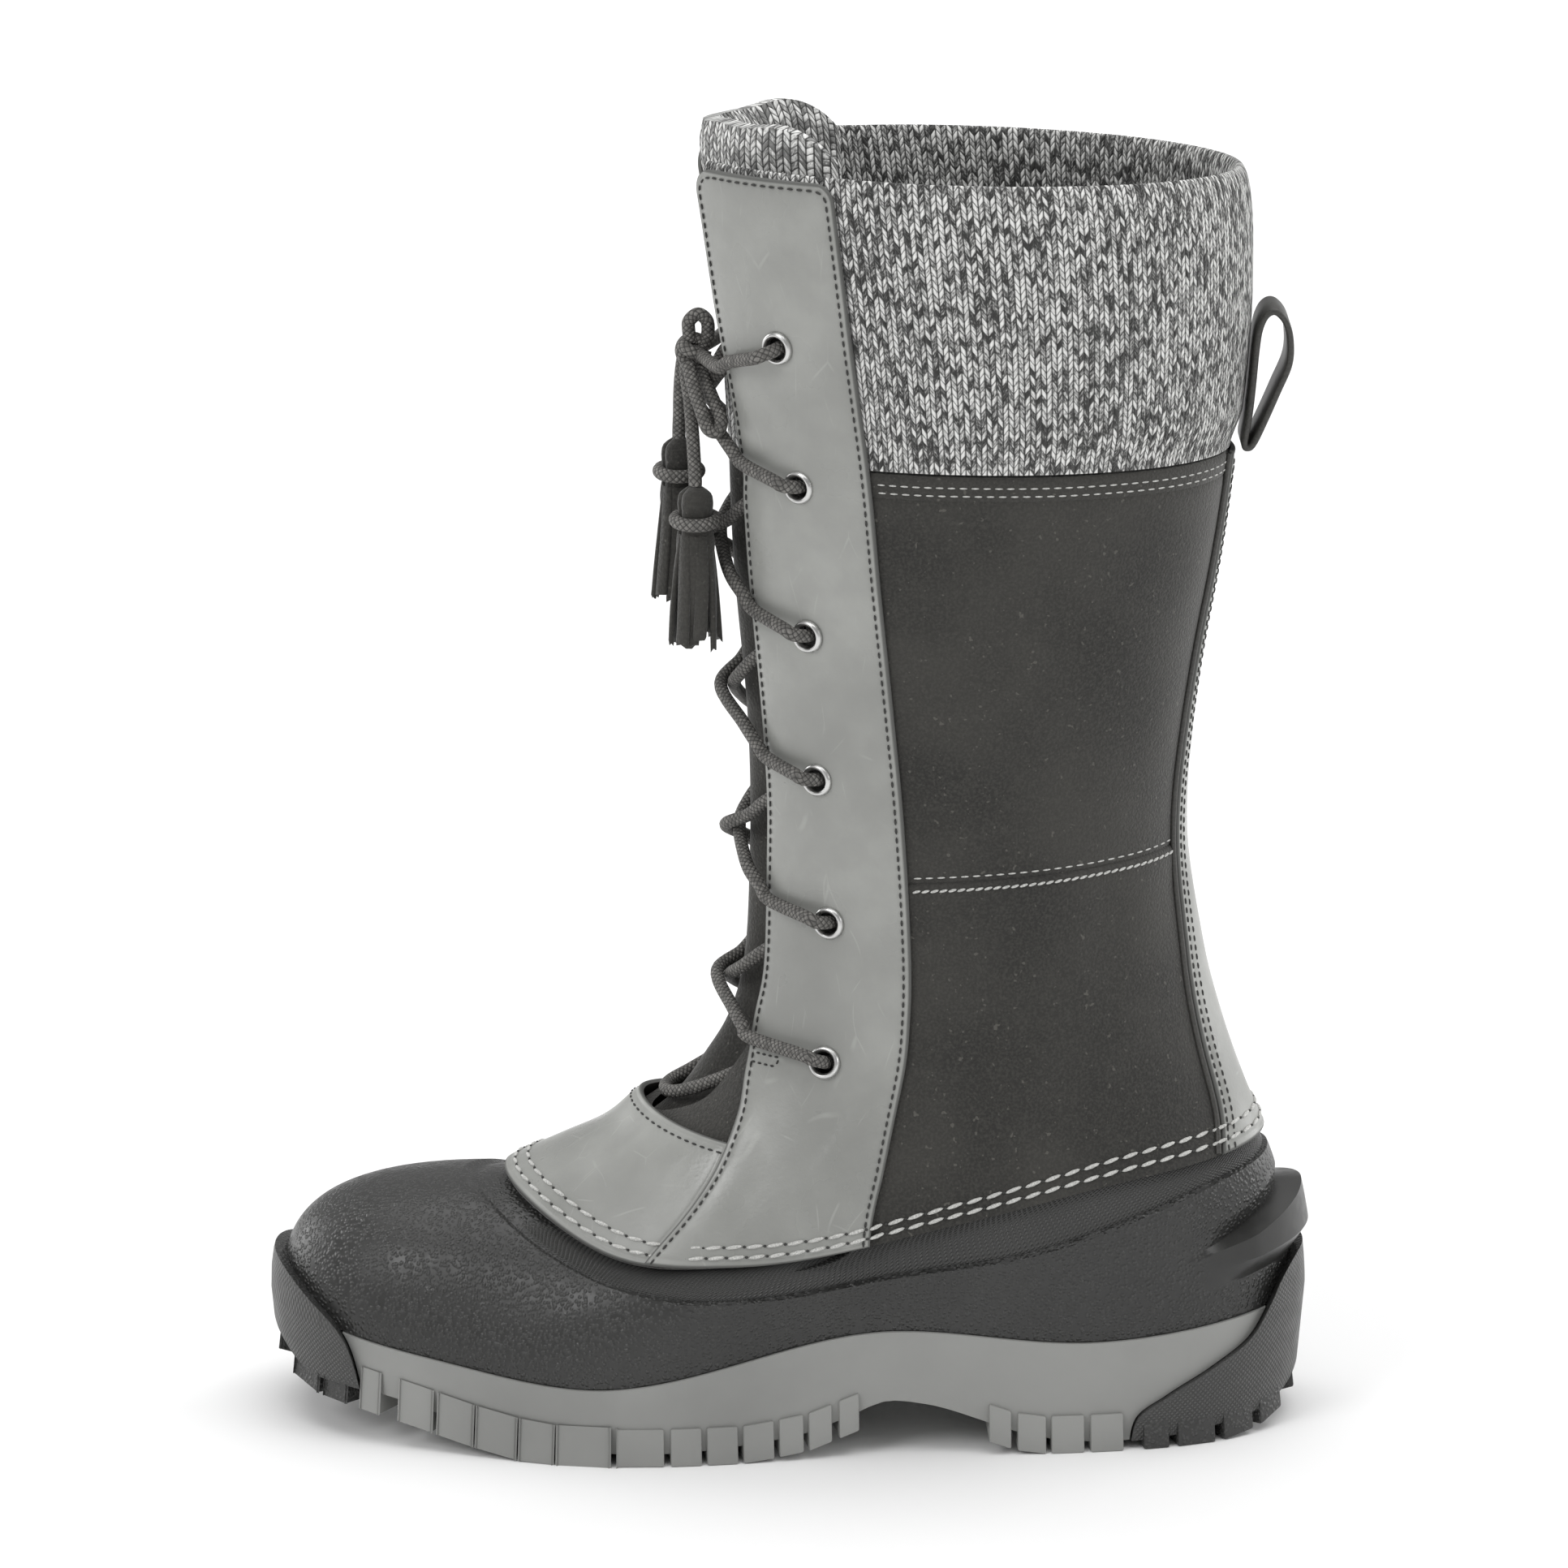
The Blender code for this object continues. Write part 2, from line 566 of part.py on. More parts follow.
def edge_lug(solid: bmesh.types.BMesh, first: float, last: float, side: int, flange: float) -> None:
    """One lug on the sole's edge, between two angles."""
    angles = np.array([first, last]) * side
    outer = SHAPE.layer(angles, FEATHER, flange + LUG_PROUD)
    face = SHAPE.layer(angles, FEATHER, flange + LUG_PROUD * 0.4)
    inner = SHAPE.layer(angles, FEATHER, flange - LUG_REACH)
    ground = [np.interp(p[0] / LENGTH, *zip(*TREAD)) * INSTEP_HEIGHT for p in outer]
    low = -LUG_DEPTH
    corners_below = [(inner[0], low), (outer[0], low), (outer[1], low), (inner[1], low)]
    corners_above = [
        (inner[0], ground[0] + LUG_DEPTH + LUG_ROOT), (face[0], ground[0] + LUG_FACE),
        (face[1], ground[1] + LUG_FACE), (inner[1], ground[1] + LUG_DEPTH + LUG_ROOT),
    ]
    block(solid, [(p[0], p[1], z) for p, z in corners_below + corners_above])


def lugs(name: str, spans, flange: float, middle=(), end_angle: float | None = None) -> bpy.types.Mesh:
    """Edge lugs on both sides, lugs down the middle and one at the end, before the ground trims them."""
    solid = bmesh.new()
    for first, last in spans:
        for side in (1, -1):
            edge_lug(solid, SHAPE.angle_at(first * LENGTH), SHAPE.angle_at(last * LENGTH), side, flange)
    if end_angle is not None:
        edge_lug(solid, end_angle - END_LUG_ANGLE, end_angle + END_LUG_ANGLE, 1, flange)
    for first, last in middle:
        start, stop = first * LENGTH, last * LENGTH
        half = CENTRE_LUG_WIDTH / 2
        edges = SHAPE.surface(np.array([1.0, -1.0]) * SHAPE.angle_at(start), FEATHER)
        swing = float(edges[:, 1].mean())
        root = LUG_DEPTH + LUG_ROOT
        ground = [np.interp(x / LENGTH, *zip(*TREAD)) * INSTEP_HEIGHT + root for x in (start, stop)]
        plan = [(start, swing - half), (stop, swing - half), (stop, swing + half), (start, swing + half)]
        tops = [ground[0], ground[1], ground[1], ground[0]]
        block(solid, [(x, y, -LUG_DEPTH) for x, y in plan] + [(x, y, z) for (x, y), z in zip(plan, tops)])
    bmesh.ops.recalc_face_normals(solid, faces=solid.faces[:])
    mesh = bpy.data.meshes.new(name)
    solid.to_mesh(mesh)
    solid.free()
    return mesh


def side_outline(edge, grow: float = 0.0) -> list:
    """Edge table as points in x and z, moved along the boot by a clearance."""
    return [(x * LENGTH + grow, z * INSTEP_HEIGHT + abs(grow)) for x, z in edge]


def build_sole(shop: Workshop) -> None:
    """Grey sole between two dark bumpers that climb the galosh, each with its lugs."""
    depth = BALL_WIDTH
    ground = shop.cutter("ground", outlined("ground", tread_outline(0.0), -depth, depth))
    underside = shop.cutter("underside", outlined("underside", tread_outline(LUG_DEPTH), -depth, depth))
    clearance = shop.cutter("galosh_clearance", galosh_clearance("galosh_clearance"))
    low_toe = (TOE_EDGE[0][0] * LENGTH, TOE_EDGE[-1][1] * INSTEP_HEIGHT)
    low_heel = (HEEL_EDGE[-1][0] * LENGTH, HEEL_EDGE[0][1] * INSTEP_HEIGHT)

    def prism_cutter(name: str, edge, corner, grow: float) -> bpy.types.Object:
        outline = [*side_outline(edge, grow), corner]
        return shop.cutter(name, outlined(name, outline, -depth, depth))

    def trimmed_lugs(name: str, mesh: bpy.types.Mesh) -> bpy.types.Object:
        made = shop.cutter(name, mesh)
        boolean(made, ground)
        return made

    flange = GALOSH_STEP + SOLE_FLANGE
    sole = shop.part("sole", footing("sole", flange, FEATHER, SOLE_TAPER, GAP), (GREY_RUBBER, 0.6))
    boolean(sole, underside)
    boolean(sole, trimmed_lugs("sole_lugs", lugs("sole_lugs", SOLE_LUGS, flange, CENTRE_LUGS)), "UNION")
    boolean(sole, prism_cutter("toe_clearance", TOE_EDGE, low_toe, TREAD_GAP))
    boolean(sole, prism_cutter("heel_clearance", HEEL_EDGE, low_heel, -TREAD_GAP))

    outer = GALOSH_STEP + GAP + BUMPER_WALL
    ends = (
        ("toe_bumper", TOE_EDGE, low_toe, TOE_LUGS, 0.0),
        ("heel_bumper", HEEL_EDGE, low_heel, HEEL_LUGS, 180.0),
    )
    for name, edge, corner, spans, end_angle in ends:
        bumper = shop.part(name, footing(name, outer, 0.85, 2 * SOLE_TAPER), (DARK_RUBBER, 0.55))
        boolean(bumper, underside)
        lug_mesh = lugs(f"{name}_lugs", spans, flange, (), end_angle)
        boolean(bumper, trimmed_lugs(f"{name}_lugs", lug_mesh), "UNION")
        boolean(bumper, prism_cutter(f"{name}_side", edge, corner, 0.0), "INTERSECT")
        boolean(bumper, clearance)


def insole_mesh() -> bpy.types.Mesh:
    """Footbed on the galosh's floor."""
    side = -(GALOSH_WALL + 2 * GAP)
    base = ring(FEATHER, side, GALOSH_FLOOR + GAP)
    top = ring(FEATHER, side - INSOLE_THICKNESS / 2, GALOSH_FLOOR + GAP + INSOLE_THICKNESS)
    return skin("insole", [collapsed(base), base, top, collapsed(top)])


def tube_mesh(name: str, rows, inner, outer) -> bpy.types.Mesh:
    """Hollow tube between two offsets through these rows."""
    outside = [ring(row, outer) for row in rows]
    inside = [ring(row, inner) for row in reversed(rows)]
    return skin(name, [*outside, *inside, outside[0]])


def throat_mesh(name: str, half_width: float, bottom_row: float) -> bpy.types.Mesh:
    """Cutter that opens the front from a row up past the collar, with a rounded lower end."""
    low = float(SHAPE.surface(0.0, bottom_row)[2])
    top = COLLAR_HEIGHT * 1.1
    bend = [math.radians(angle) for angle in (180, 210, 240, 270, 300, 330, 360)]
    arch = [(half_width * math.cos(a), low + half_width * 0.5 * (1 + math.sin(a))) for a in bend]
    outline = [*arch, (half_width, top), (-half_width, top)]
    mesh = outlined(name, outline, 0.0, SHAFT_DEPTH * 0.75)
    for vert in mesh.vertices:
        vert.co = Vector((vert.co.y - SHAFT_DEPTH * 0.5, vert.co.x, vert.co.z))
    mesh.flip_normals()
    return mesh


def hole_cutter(name: str, radius: float, reach: float) -> bpy.types.Mesh:
    """Cylinders at every eyelet, along the form's normal."""
    solid = bmesh.new()
    for side in (1, -1):
        for row, angle in EYELETS:
            placed = bmesh.ops.create_cone(
                solid, cap_ends=True, segments=9, radius1=radius, radius2=radius, depth=reach
            )["verts"]
            out = Vector(SHAPE.normal(angle * side, row))
            turn = out.to_track_quat("Z", "Y").to_matrix() @ Matrix.Rotation(HOLE_PHASE, 3, "Z")
            bmesh.ops.rotate(solid, verts=placed, matrix=turn)
            bmesh.ops.translate(solid, verts=placed, vec=Vector(SHAPE.surface(angle * side, row)))
    mesh = bpy.data.meshes.new(name)
    solid.to_mesh(mesh)
    solid.free()
    return mesh


def panel_mesh(name: str, rows, first, last, columns: int, inner, outer) -> bpy.types.Mesh:
    """Flat piece laid on the form between two edges; offsets may be functions of row and angle."""
    sections = []
    for row in rows:
        angles = np.linspace(first(row), last(row), columns + 1)
        low = SHAPE.layer(angles, row, inner(row, angles))
        high = SHAPE.layer(angles, row, outer(row, angles))
        sections.append(np.concatenate([low, high[::-1], low[:1]]))
    return skin(name, [pinched(sections[0]), *sections, pinched(sections[-1])])


def pinched(section: np.ndarray) -> np.ndarray:
    """Section folded flat onto its inner face, which closes the end of a panel."""
    inner = section[: len(section) // 2]
    return np.concatenate([inner, inner[::-1], inner[:1]])


def throat_angle(row: float, margin: float = 0.0) -> float:
    """Angle of the throat's edge on the shaft."""
    return SHAPE.angle_of_width(row, THROAT_HALF_WIDTH + margin)


def facing_front(row: float) -> float:
    """Front edge of a facing: the throat's edge above, the pattern below."""
    drawn = float(edge_angle(FACING_FRONT, row))
    share = float(ease((row - 3.4) / 0.9))
    return drawn + (throat_angle(max(row, 3.0)) - drawn) * share


def facing_rear(row: float) -> float:
    """Rear edge of a facing."""
    return float(edge_angle(FACING_REAR, row))


def flat_layer(offset: float):
    """Offset of a piece of even thickness, as a function of row and angles."""
    return lambda row, angles: np.full(len(angles), offset)


def build_upper(shop: Workshop) -> None:
    """Suede and leather tube with its throat and eyelet holes, and the leather pieces on it."""
    throat = shop.cutter("throat", throat_mesh("throat", THROAT_HALF_WIDTH + THROAT_MARGIN, THROAT_ROW))
    holes = shop.cutter("eyelet_holes", hole_cutter("eyelet_holes", EYELET_BORE / 2 + 3 * GAP, 0.03))
    upper = shop.part("upper", tube_mesh("upper", LEG_ROWS, UPPER_INNER, UPPER_OUTER), (SUEDE, 0.9))
    boolean(upper, throat)
    boolean(upper, holes)

    cuff = shop.part("cuff", cuff_mesh(), (KNIT, 0.95))
    boolean(cuff, throat)
    boolean(cuff, holes)

    facing_rows = [*LEG_ROWS[:-1], 8.0, 8.7, 9.4, FACING_TOP]
    edges = (
        ("facing_lateral", facing_front, facing_rear),
        ("facing_medial", lambda row: -facing_rear(row), lambda row: -facing_front(row)),
    )
    inner, outer = flat_layer(OVERLAY_INNER), flat_layer(OVERLAY_OUTER)
    for name, first, last in edges:
        mesh = panel_mesh(name, facing_rows, first, last, 6, inner, outer)
        boolean(shop.part(name, mesh, (LEATHER, 0.5)), holes)

    shop.part("vamp", vamp_mesh(), (LEATHER, 0.45))
    shop.part("backstay", backstay_mesh(), (LEATHER, 0.5))


def vamp_mesh() -> bpy.types.Mesh:
    """Leather over the instep between the facings, with a lip that lifts over the lowest lace."""
    def half(row: float) -> float:
        edge = float(edge_angle(FACING_FRONT, row))
        return edge - math.degrees(2 * GAP / (BALL_WIDTH * 0.45))

    def lift(row, angles):
        lip = ease((row - 1.7) / 0.55) * (1 - ease(np.abs(angles) / LIP_ANGLE))
        return LIP_RISE * lip

    return panel_mesh(
        "vamp", VAMP_ROWS, lambda row: -half(row), half, 12,
        lambda row, angles: OVERLAY_INNER + lift(row, angles),
        lambda row, angles: OVERLAY_OUTER + lift(row, angles),
    )


def backstay_mesh() -> bpy.types.Mesh:
    """Leather strip down the back."""
    def edge(row: float) -> float:
        return float(edge_angle(BACKSTAY_EDGE, row))

    inner, outer = flat_layer(OVERLAY_INNER), flat_layer(OVERLAY_OUTER)
    return panel_mesh("backstay", LEG_ROWS, edge, lambda row: 360.0 - edge(row), 6, inner, outer)


def cuff_mesh() -> bpy.types.Mesh:
    """Knitted collar, thin under the facings and padded behind them, with a rolled rim."""
    away = np.minimum(TURN, 360.0 - TURN)
    swell = CUFF_SWELL * ease((away - 68.0) / 14.0)
    base = SEAM_ROW + SHAPE.rows_for(GAP, SEAM_ROW)
    outside = [(base, 0.0), (8.3, 1.0), (8.9, 1.0), (9.5, 1.0), (9.85, 0.6)]
    rings = [ring(row, UPPER_OUTER + swell * share) for row, share in outside]
    rim = ring(COLLAR_ROW, (UPPER_OUTER - CUFF_INNER) / 2 + swell * 0.3)
    inside = [ring(row, -CUFF_INNER) for row in (9.85, 9.5, 8.9, 8.3, base)]
    return skin("cuff", [*rings, rim, *inside, rings[0]])


def tongue_mesh() -> bpy.types.Mesh:
    """Tongue: a hump between the facings, thin suede below and a thick knitted roll above."""
    sections = []
    for row, middle, sides, roll, reach in TONGUE_ROWS:
        angles = np.linspace(-reach, reach, 11)
        hump = np.cos(np.clip(angles / TONGUE_HUMP, -1, 1) * math.pi / 2) ** 2
        outer = sides + (middle - sides) * hump
        depth = (TONGUE_WALL + (TONGUE_ROLL - TONGUE_WALL) * roll) * (1 - 0.45 * np.abs(angles / reach) ** 4)
        low = SHAPE.layer(angles, row, outer - depth)
        high = SHAPE.layer(angles, row, outer)
        sections.append(np.concatenate([low, high[::-1], low[:1]]))
    return skin("tongue", [pinched(sections[0]), *sections, pinched(sections[-1])])


def cord_mesh(name: str, points, radius: float, rings: int, closed: bool = False) -> bpy.types.Mesh:
    """Round cord on a smooth curve through the points."""
    points = np.asarray(points, float)
    if closed:
        points = np.concatenate([points[-2:], points, points[:3]])
    knots = np.arange(len(points), dtype=float)
    start, stop = (2.0, len(points) - 3.0) if closed else (0.0, len(points) - 1.0)
    at = np.linspace(start, stop, rings)
    line = np.stack([smooth(knots, points[:, axis], at) for axis in range(3)], -1)
    along = np.gradient(line, axis=0)
    if closed:
        along[0] = along[-1] = line[1] - line[-2]
    side = Vector(along[0]).orthogonal().normalized()
    sections = []
    turns = np.linspace(0, math.tau, CORD_SIDES + 1)
    for place, direction in zip(line, along):
        forward = Vector(direction).normalized()
        side = (side - forward * side.dot(forward)).normalized()
        up = np.array(forward.cross(side))
        sections.append(place + radius * (np.outer(np.cos(turns), side) + np.outer(np.sin(turns), up)))
    if closed:
        return skin(name, [*sections[:-1], sections[0]])
    return skin(name, [collapsed(sections[0]), *sections, collapsed(sections[-1])])


def turned(name: str, profile, origin, axis) -> bpy.types.Mesh:
    """Ring turned from a closed profile of radius and height."""
    turn = Vector(axis).to_track_quat("Z", "Y").to_matrix()
    angles = np.linspace(0, math.tau, EYELET_STEPS + 1)
    rings = []
    for radius, height in [*profile, profile[0]]:
        circle = [turn @ Vector((radius * math.cos(a), radius * math.sin(a), height)) for a in angles]
        rings.append(np.array(circle) + origin)
    return skin(name, rings)


def build_eyelets(shop: Workshop) -> None:
    """Eyelets on both sides, each with a barrel in its hole and a rounded flange."""
    bore, flange = EYELET_BORE / 2, EYELET_FLANGE / 2
    barrel = bore + EYELET_BARREL
    profile = [
        (bore, -EYELET_DEPTH), (bore, EYELET_CROWN), (flange, 0.0), (barrel, 0.0), (barrel, -EYELET_DEPTH),
    ]
    for side, word in ((1, "lateral"), (-1, "medial")):
        for number, (row, angle) in enumerate(EYELETS, start=1):
            name = f"eyelet_{word}_{number}"
            origin = SHAPE.layer(angle * side, row, OVERLAY_OUTER + EYELET_SEAT)
            mesh = turned(name, profile, origin, SHAPE.normal(angle * side, row))
            shop.part(name, mesh, (METAL, 0.25, 1.0))


def over_flange(row: float, angle: float, rise: float) -> list:
    """Lace from inside an eyelet's hole out over its flange: row, angle, offset."""
    crest = OVERLAY_OUTER + EYELET_SEAT + EYELET_CROWN + LACE_RADIUS + 3 * GAP
    return [
        (row, angle, OVERLAY_INNER),
        (row + 0.01 * rise, angle - 0.4, OVERLAY_OUTER + LACE_RADIUS * 0.8),
        (row + 0.03 * rise, angle - 2.2, crest),
        (row + 0.06 * rise, angle - 4.8, crest + GAP),
    ]


def strand(side: int, number: int, height: float) -> list:
    """Lace from one eyelet over its facing's edge, across the front and under the other facing."""
    row, angle = EYELETS[number]
    rise = EYELETS[number + 1][0] - row
    laid = OVERLAY_OUTER + 3 * GAP + LACE_RADIUS
    hidden = (-CUFF_INNER if row + rise > SEAM_ROW else UPPER_INNER) - LACE_RADIUS - GAP
    depths = (0.0040, 0.0012, hidden * 0.85, hidden, hidden)
    places = over_flange(row, angle, rise)
    for share, across, onward in OVER_EDGE:
        places.append((row + share * rise, throat_angle(row + share * rise) * across + onward, laid))
    places.append((row + 0.5 * rise, 0.0, height))
    for (share, across, onward), depth in zip(UNDER_EDGE, depths):
        places.append((row + share * rise, throat_angle(row + share * rise) * across + onward, depth))
    return [SHAPE.layer(turn * side, place, offset) for place, turn, offset in places]


def build_laces(shop: Workshop) -> None:
    """Crossings between the eyelets, and the bar under the vamp's lip."""
    low = TONGUE_ROWS[4][1] + LACE_RADIUS + 4 * GAP
    heights = (low, low + LACE_RADIUS * 1.2)
    for number in range(len(EYELETS) - 1):
        name = f"lace_crossing_{number + 1}"
        meshes = [
            cord_mesh(f"{name}_{side}", strand(side, number, height), LACE_RADIUS, STRAND_RINGS)
            for side, height in zip((1, -1), heights if number % 2 else heights[::-1])
        ]
        crossing = shop.part(name, meshes[0], (LACE, 0.8))
        boolean(crossing, shop.cutter(f"{name}_mate", meshes[1]), "UNION")
    half = [SHAPE.layer(angle, row, offset) for row, angle, offset in BAR]
    other = [SHAPE.layer(-angle, row, offset) for row, angle, offset in BAR[:0:-1]]
    shop.part("lace_bar", cord_mesh("lace_bar", [*other, *half], LACE_RADIUS, STRAND_RINGS), (LACE, 0.8))


def from_knot(points) -> np.ndarray:
    """Points given in lace diameters from the knot's centre."""
    row, angle, offset = KNOT_PLACE
    return SHAPE.layer(angle, row, offset) + np.array(points) * LACE_DIAMETER


def build_bow(shop: Workshop) -> None:
    """Knot with the laces of the top eyelets, its loops, and the ends with their tassels."""
    radius = KNOT_SIZE / 2 - LACE_RADIUS
    centre = from_knot((0.0, 0.0, 0.0))
    angles = np.linspace(0, math.tau, 8, endpoint=False)
    wraps = []
    for tilt, axis in KNOT_WRAPS:
        turn = Matrix.Rotation(math.radians(tilt), 3, axis)
        circle = [turn @ Vector((radius * math.cos(a), radius * math.sin(a), 0.0)) for a in angles]
        wraps.append(np.array(circle) + centre)
    knot = shop.part("lace_knot", cord_mesh("lace_knot", wraps[0], LACE_RADIUS, 9, True), (LACE, 0.8))
    wrap = shop.cutter("knot_wrap", cord_mesh("knot_wrap", wraps[1], LACE_RADIUS, 9, True))
    boolean(knot, wrap, "UNION")
    row, angle = EYELETS[-1]
    laid = OVERLAY_OUTER + 3 * GAP + LACE_RADIUS
    for side, word in ((1, "lateral"), (-1, "medial")):
        places = [*over_flange(row, angle, -1.0), (row - 0.14, throat_angle(row) + 7.0, laid)]
        places.append((row - 0.20, throat_angle(row) + 1.0, laid))
        line = [SHAPE.layer(turn * side, place, offset) for place, turn, offset in places]
        tail = centre + np.array((0.0, side * KNOT_TAIL * LACE_DIAMETER, 0.0))
        run = shop.cutter(f"top_run_{word}", cord_mesh(word, [*line, tail], LACE_RADIUS, 9))
        boolean(knot, run, "UNION")

    for name, points, rings in (
        ("lace_loop_top", TOP_LOOP, 9), ("lace_loop_low", LOW_LOOP, 13),
        ("lace_end_near", NEAR_END, 6), ("lace_end_far", FAR_END, 5),
    ):
        shop.part(name, cord_mesh(name, from_knot(points), LACE_RADIUS, rings), (LACE, 0.8))
    for name, points in (("tassel_near", NEAR_END), ("tassel_far", FAR_END)):
        top = from_knot(points[-1]) - np.array((0.0, 0.0, GAP))
        tassel = shop.part(name, tassel_core(name, top), (SUEDE, 0.9))
        boolean(tassel, shop.cutter(f"{name}_strips", tassel_strips(name, top)), "UNION")


def tassel_core(name: str, top) -> bpy.types.Mesh:
    """Folded head of a tassel with its cord ring and the root that the strips hang from."""
    turns = np.linspace(0, math.tau, 9)
    circle = np.stack([np.cos(turns), np.sin(turns), 0 * turns], -1)
    down = np.array((0.0, 0.0, -TASSEL_LENGTH))
    rings = [top + circle * TASSEL_WIDTH * width + down * share for share, width in TASSEL_CORE]
    return skin(name, [collapsed(rings[0]), *rings, collapsed(rings[-1])])


def tassel_strips(name: str, top) -> bpy.types.Mesh:
    """Leather strips round a tassel, clear of each other."""
    solid = bmesh.new()
    half = STRIP_WIDTH / 2
    for degrees, spread, end in STRIPS:
        turn = math.radians(degrees)
        out = np.array((math.cos(turn), math.sin(turn), 0.0))
        along = np.array((-math.sin(turn), math.cos(turn), 0.0)) * half
        corners = []
        for share, reach in ((end, spread), STRIP_ROOT):
            inner = top + out * reach * TASSEL_WIDTH - np.array((0.0, 0.0, TASSEL_LENGTH * share))
            outer = inner + out * STRIP_THICKNESS
            corners += [inner - along, outer - along, outer + along, inner + along]
        block(solid, corners)
    bmesh.ops.recalc_face_normals(solid, faces=solid.faces[:])
    mesh = bpy.data.meshes.new(f"{name}_strips")
    solid.to_mesh(mesh)
    solid.free()
    return mesh


def pull_loop_mesh() -> bpy.types.Mesh:
    """Strap folded into a finger loop at the back, its two ends together at its foot."""
    rows, reach = (np.array(column) for column in zip(*PULL_LINE))
    line = SHAPE.surface(180.0, rows)[:, [0, 2]] + np.stack([reach * PULL_REACH, 0 * reach], -1)
    along = np.roll(line, -1, axis=0) - np.roll(line, 1, axis=0)
    across = np.stack([along[:, 1], -along[:, 0]], -1) / np.linalg.norm(along, axis=1, keepdims=True)
    outer, inner = line + across * PULL_STRAP / 2, line - across * PULL_STRAP / 2
    half = PULL_WIDTH / 2
    corners = [(outer, -half), (outer, half), (inner, half), (inner, -half), (outer, -half)]
    columns = [np.stack([place[:, 0], 0 * place[:, 0] + y, place[:, 1]], -1) for place, y in corners]
    return skin("pull_loop", [*np.stack(columns, 1), np.stack(columns, 1)[0]])


def main() -> None:
    """Build the boot."""
    shop = Workshop()
    shop.part("galosh", galosh_mesh(), (RUBBER, 0.5))
    build_sole(shop)
    shop.part("insole", insole_mesh(), (SUEDE, 0.9))
    build_upper(shop)
    shop.part("tongue", tongue_mesh(), (SUEDE, 0.9))
    build_eyelets(shop)
    build_laces(shop)
    build_bow(shop)
    shop.part("pull_loop", pull_loop_mesh(), (SUEDE, 0.6))


main()
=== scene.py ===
"""Dresses the laced winter boot: rubber galosh on a lugged sole, leather and suede leg, knitted collar.

Metres, +Z up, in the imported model's own frame. The toe points towards -X and the outer side faces -Y.
"""

import logging
import math
from dataclasses import dataclass, field
from enum import Enum
from functools import cache
from typing import Callable, NamedTuple, Sequence

import bmesh
import bpy
import numpy as np
from mathutils import Matrix, Vector


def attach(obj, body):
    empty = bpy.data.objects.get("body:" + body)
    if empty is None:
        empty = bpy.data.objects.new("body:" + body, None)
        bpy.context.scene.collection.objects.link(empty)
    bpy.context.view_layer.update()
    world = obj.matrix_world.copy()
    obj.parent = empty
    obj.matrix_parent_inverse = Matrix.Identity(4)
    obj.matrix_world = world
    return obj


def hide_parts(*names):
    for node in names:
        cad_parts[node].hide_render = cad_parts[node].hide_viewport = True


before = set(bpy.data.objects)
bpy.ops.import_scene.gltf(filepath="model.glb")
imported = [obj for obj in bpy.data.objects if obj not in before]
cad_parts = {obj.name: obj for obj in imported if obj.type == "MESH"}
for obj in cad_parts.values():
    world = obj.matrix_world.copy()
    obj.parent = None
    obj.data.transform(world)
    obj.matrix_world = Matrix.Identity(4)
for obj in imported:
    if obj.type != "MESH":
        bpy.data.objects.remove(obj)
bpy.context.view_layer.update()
log = logging.getLogger("boot")

Array, Mesh, Solid, Socket = np.ndarray, bpy.types.Mesh, bmesh.types.BMesh, bpy.types.NodeSocket
Values = Array | float
Pair, Triple = tuple[float, float], tuple[float, float, float]
Pattern, Lift = Callable[[Array], Array], Callable[[Array, Array], Array]

MM = 0.001
# Rows up the boot that its pieces start and end at
FEATHER, TOP_LINE, RIM_ROW, THROAT_ROW, MID_SEAM, SEAM_ROW, COLLAR_ROW = 0.0, 1.0, 1.35, 2.25, 5.0, 7.93, 10.0
# Shares of a ring's length, from the toe, that the ring tables give their values at
STATIONS = (0.0, 0.15, 0.3, 0.6, 0.8, 1.0)
SHARP_ANGLE = 42.0
NOISE_RANGE = (0.3, 0.7)
# Width and height of a knitted stitch in millimetres
WALE, COURSE = 2.7, 2.0


class Side(Enum):
    """The boot's two sides, as the sign of the angle round it."""

    LATERAL = 1
    MEDIAL = -1

    @property
    def word(self) -> str:
        """The side's name in lower case."""
        return self.name.lower()


class FootRing(NamedTuple):
    """Ring round the foot: ends in length, half width and swing in ball width, heights in instep height."""

    front: float
    back: float
    half_width: float
    heights: tuple[float, ...]
    fullness: tuple[float, ...]
    swing: tuple[float, ...]


class ShaftRing(NamedTuple):
    """Ring round the leg: ends in its depth, half width in its width, heights in its rise."""

    front: float
    back: float
    half_width: float
    front_height: float
    back_height: float


FOOT_RINGS = (
    FootRing(
        -0.482, 0.4835, 0.482, (0.325, 0.258, 0.212, 0.352, 0.308, 0.360),
        (1.38, 1.14, 1.075, 0.82, 0.95, 1.20), (0.064, 0.041, 0.0, -0.014, 0.0, 0.0),
    ),
    FootRing(
        -0.266, 0.447, 0.427, (0.650, 0.530, 0.535, 0.651, 0.741, 0.792),
        (1.20, 1.22, 1.10, 0.97, 1.03, 1.15), (0.020, 0.015, 0.0, 0.0, 0.0, 0.0),
    ),
    FootRing(
        -0.150, 0.428, 0.391, (0.811, 0.774, 0.774, 0.830, 0.877, 0.906),
        (1.10, 1.10, 1.05, 0.97, 1.00, 1.05), (0.010, 0.005, 0.0, 0.0, 0.0, 0.0),
    ),
    FootRing(
        -0.073, 0.405, 0.373, (0.991, 0.991, 1.000, 1.030, 1.065, 1.094),
        (1.05, 1.04, 1.02, 0.98, 1.00, 1.03), (0.0, 0.0, 0.0, 0.0, 0.0, 0.0),
    ),
)
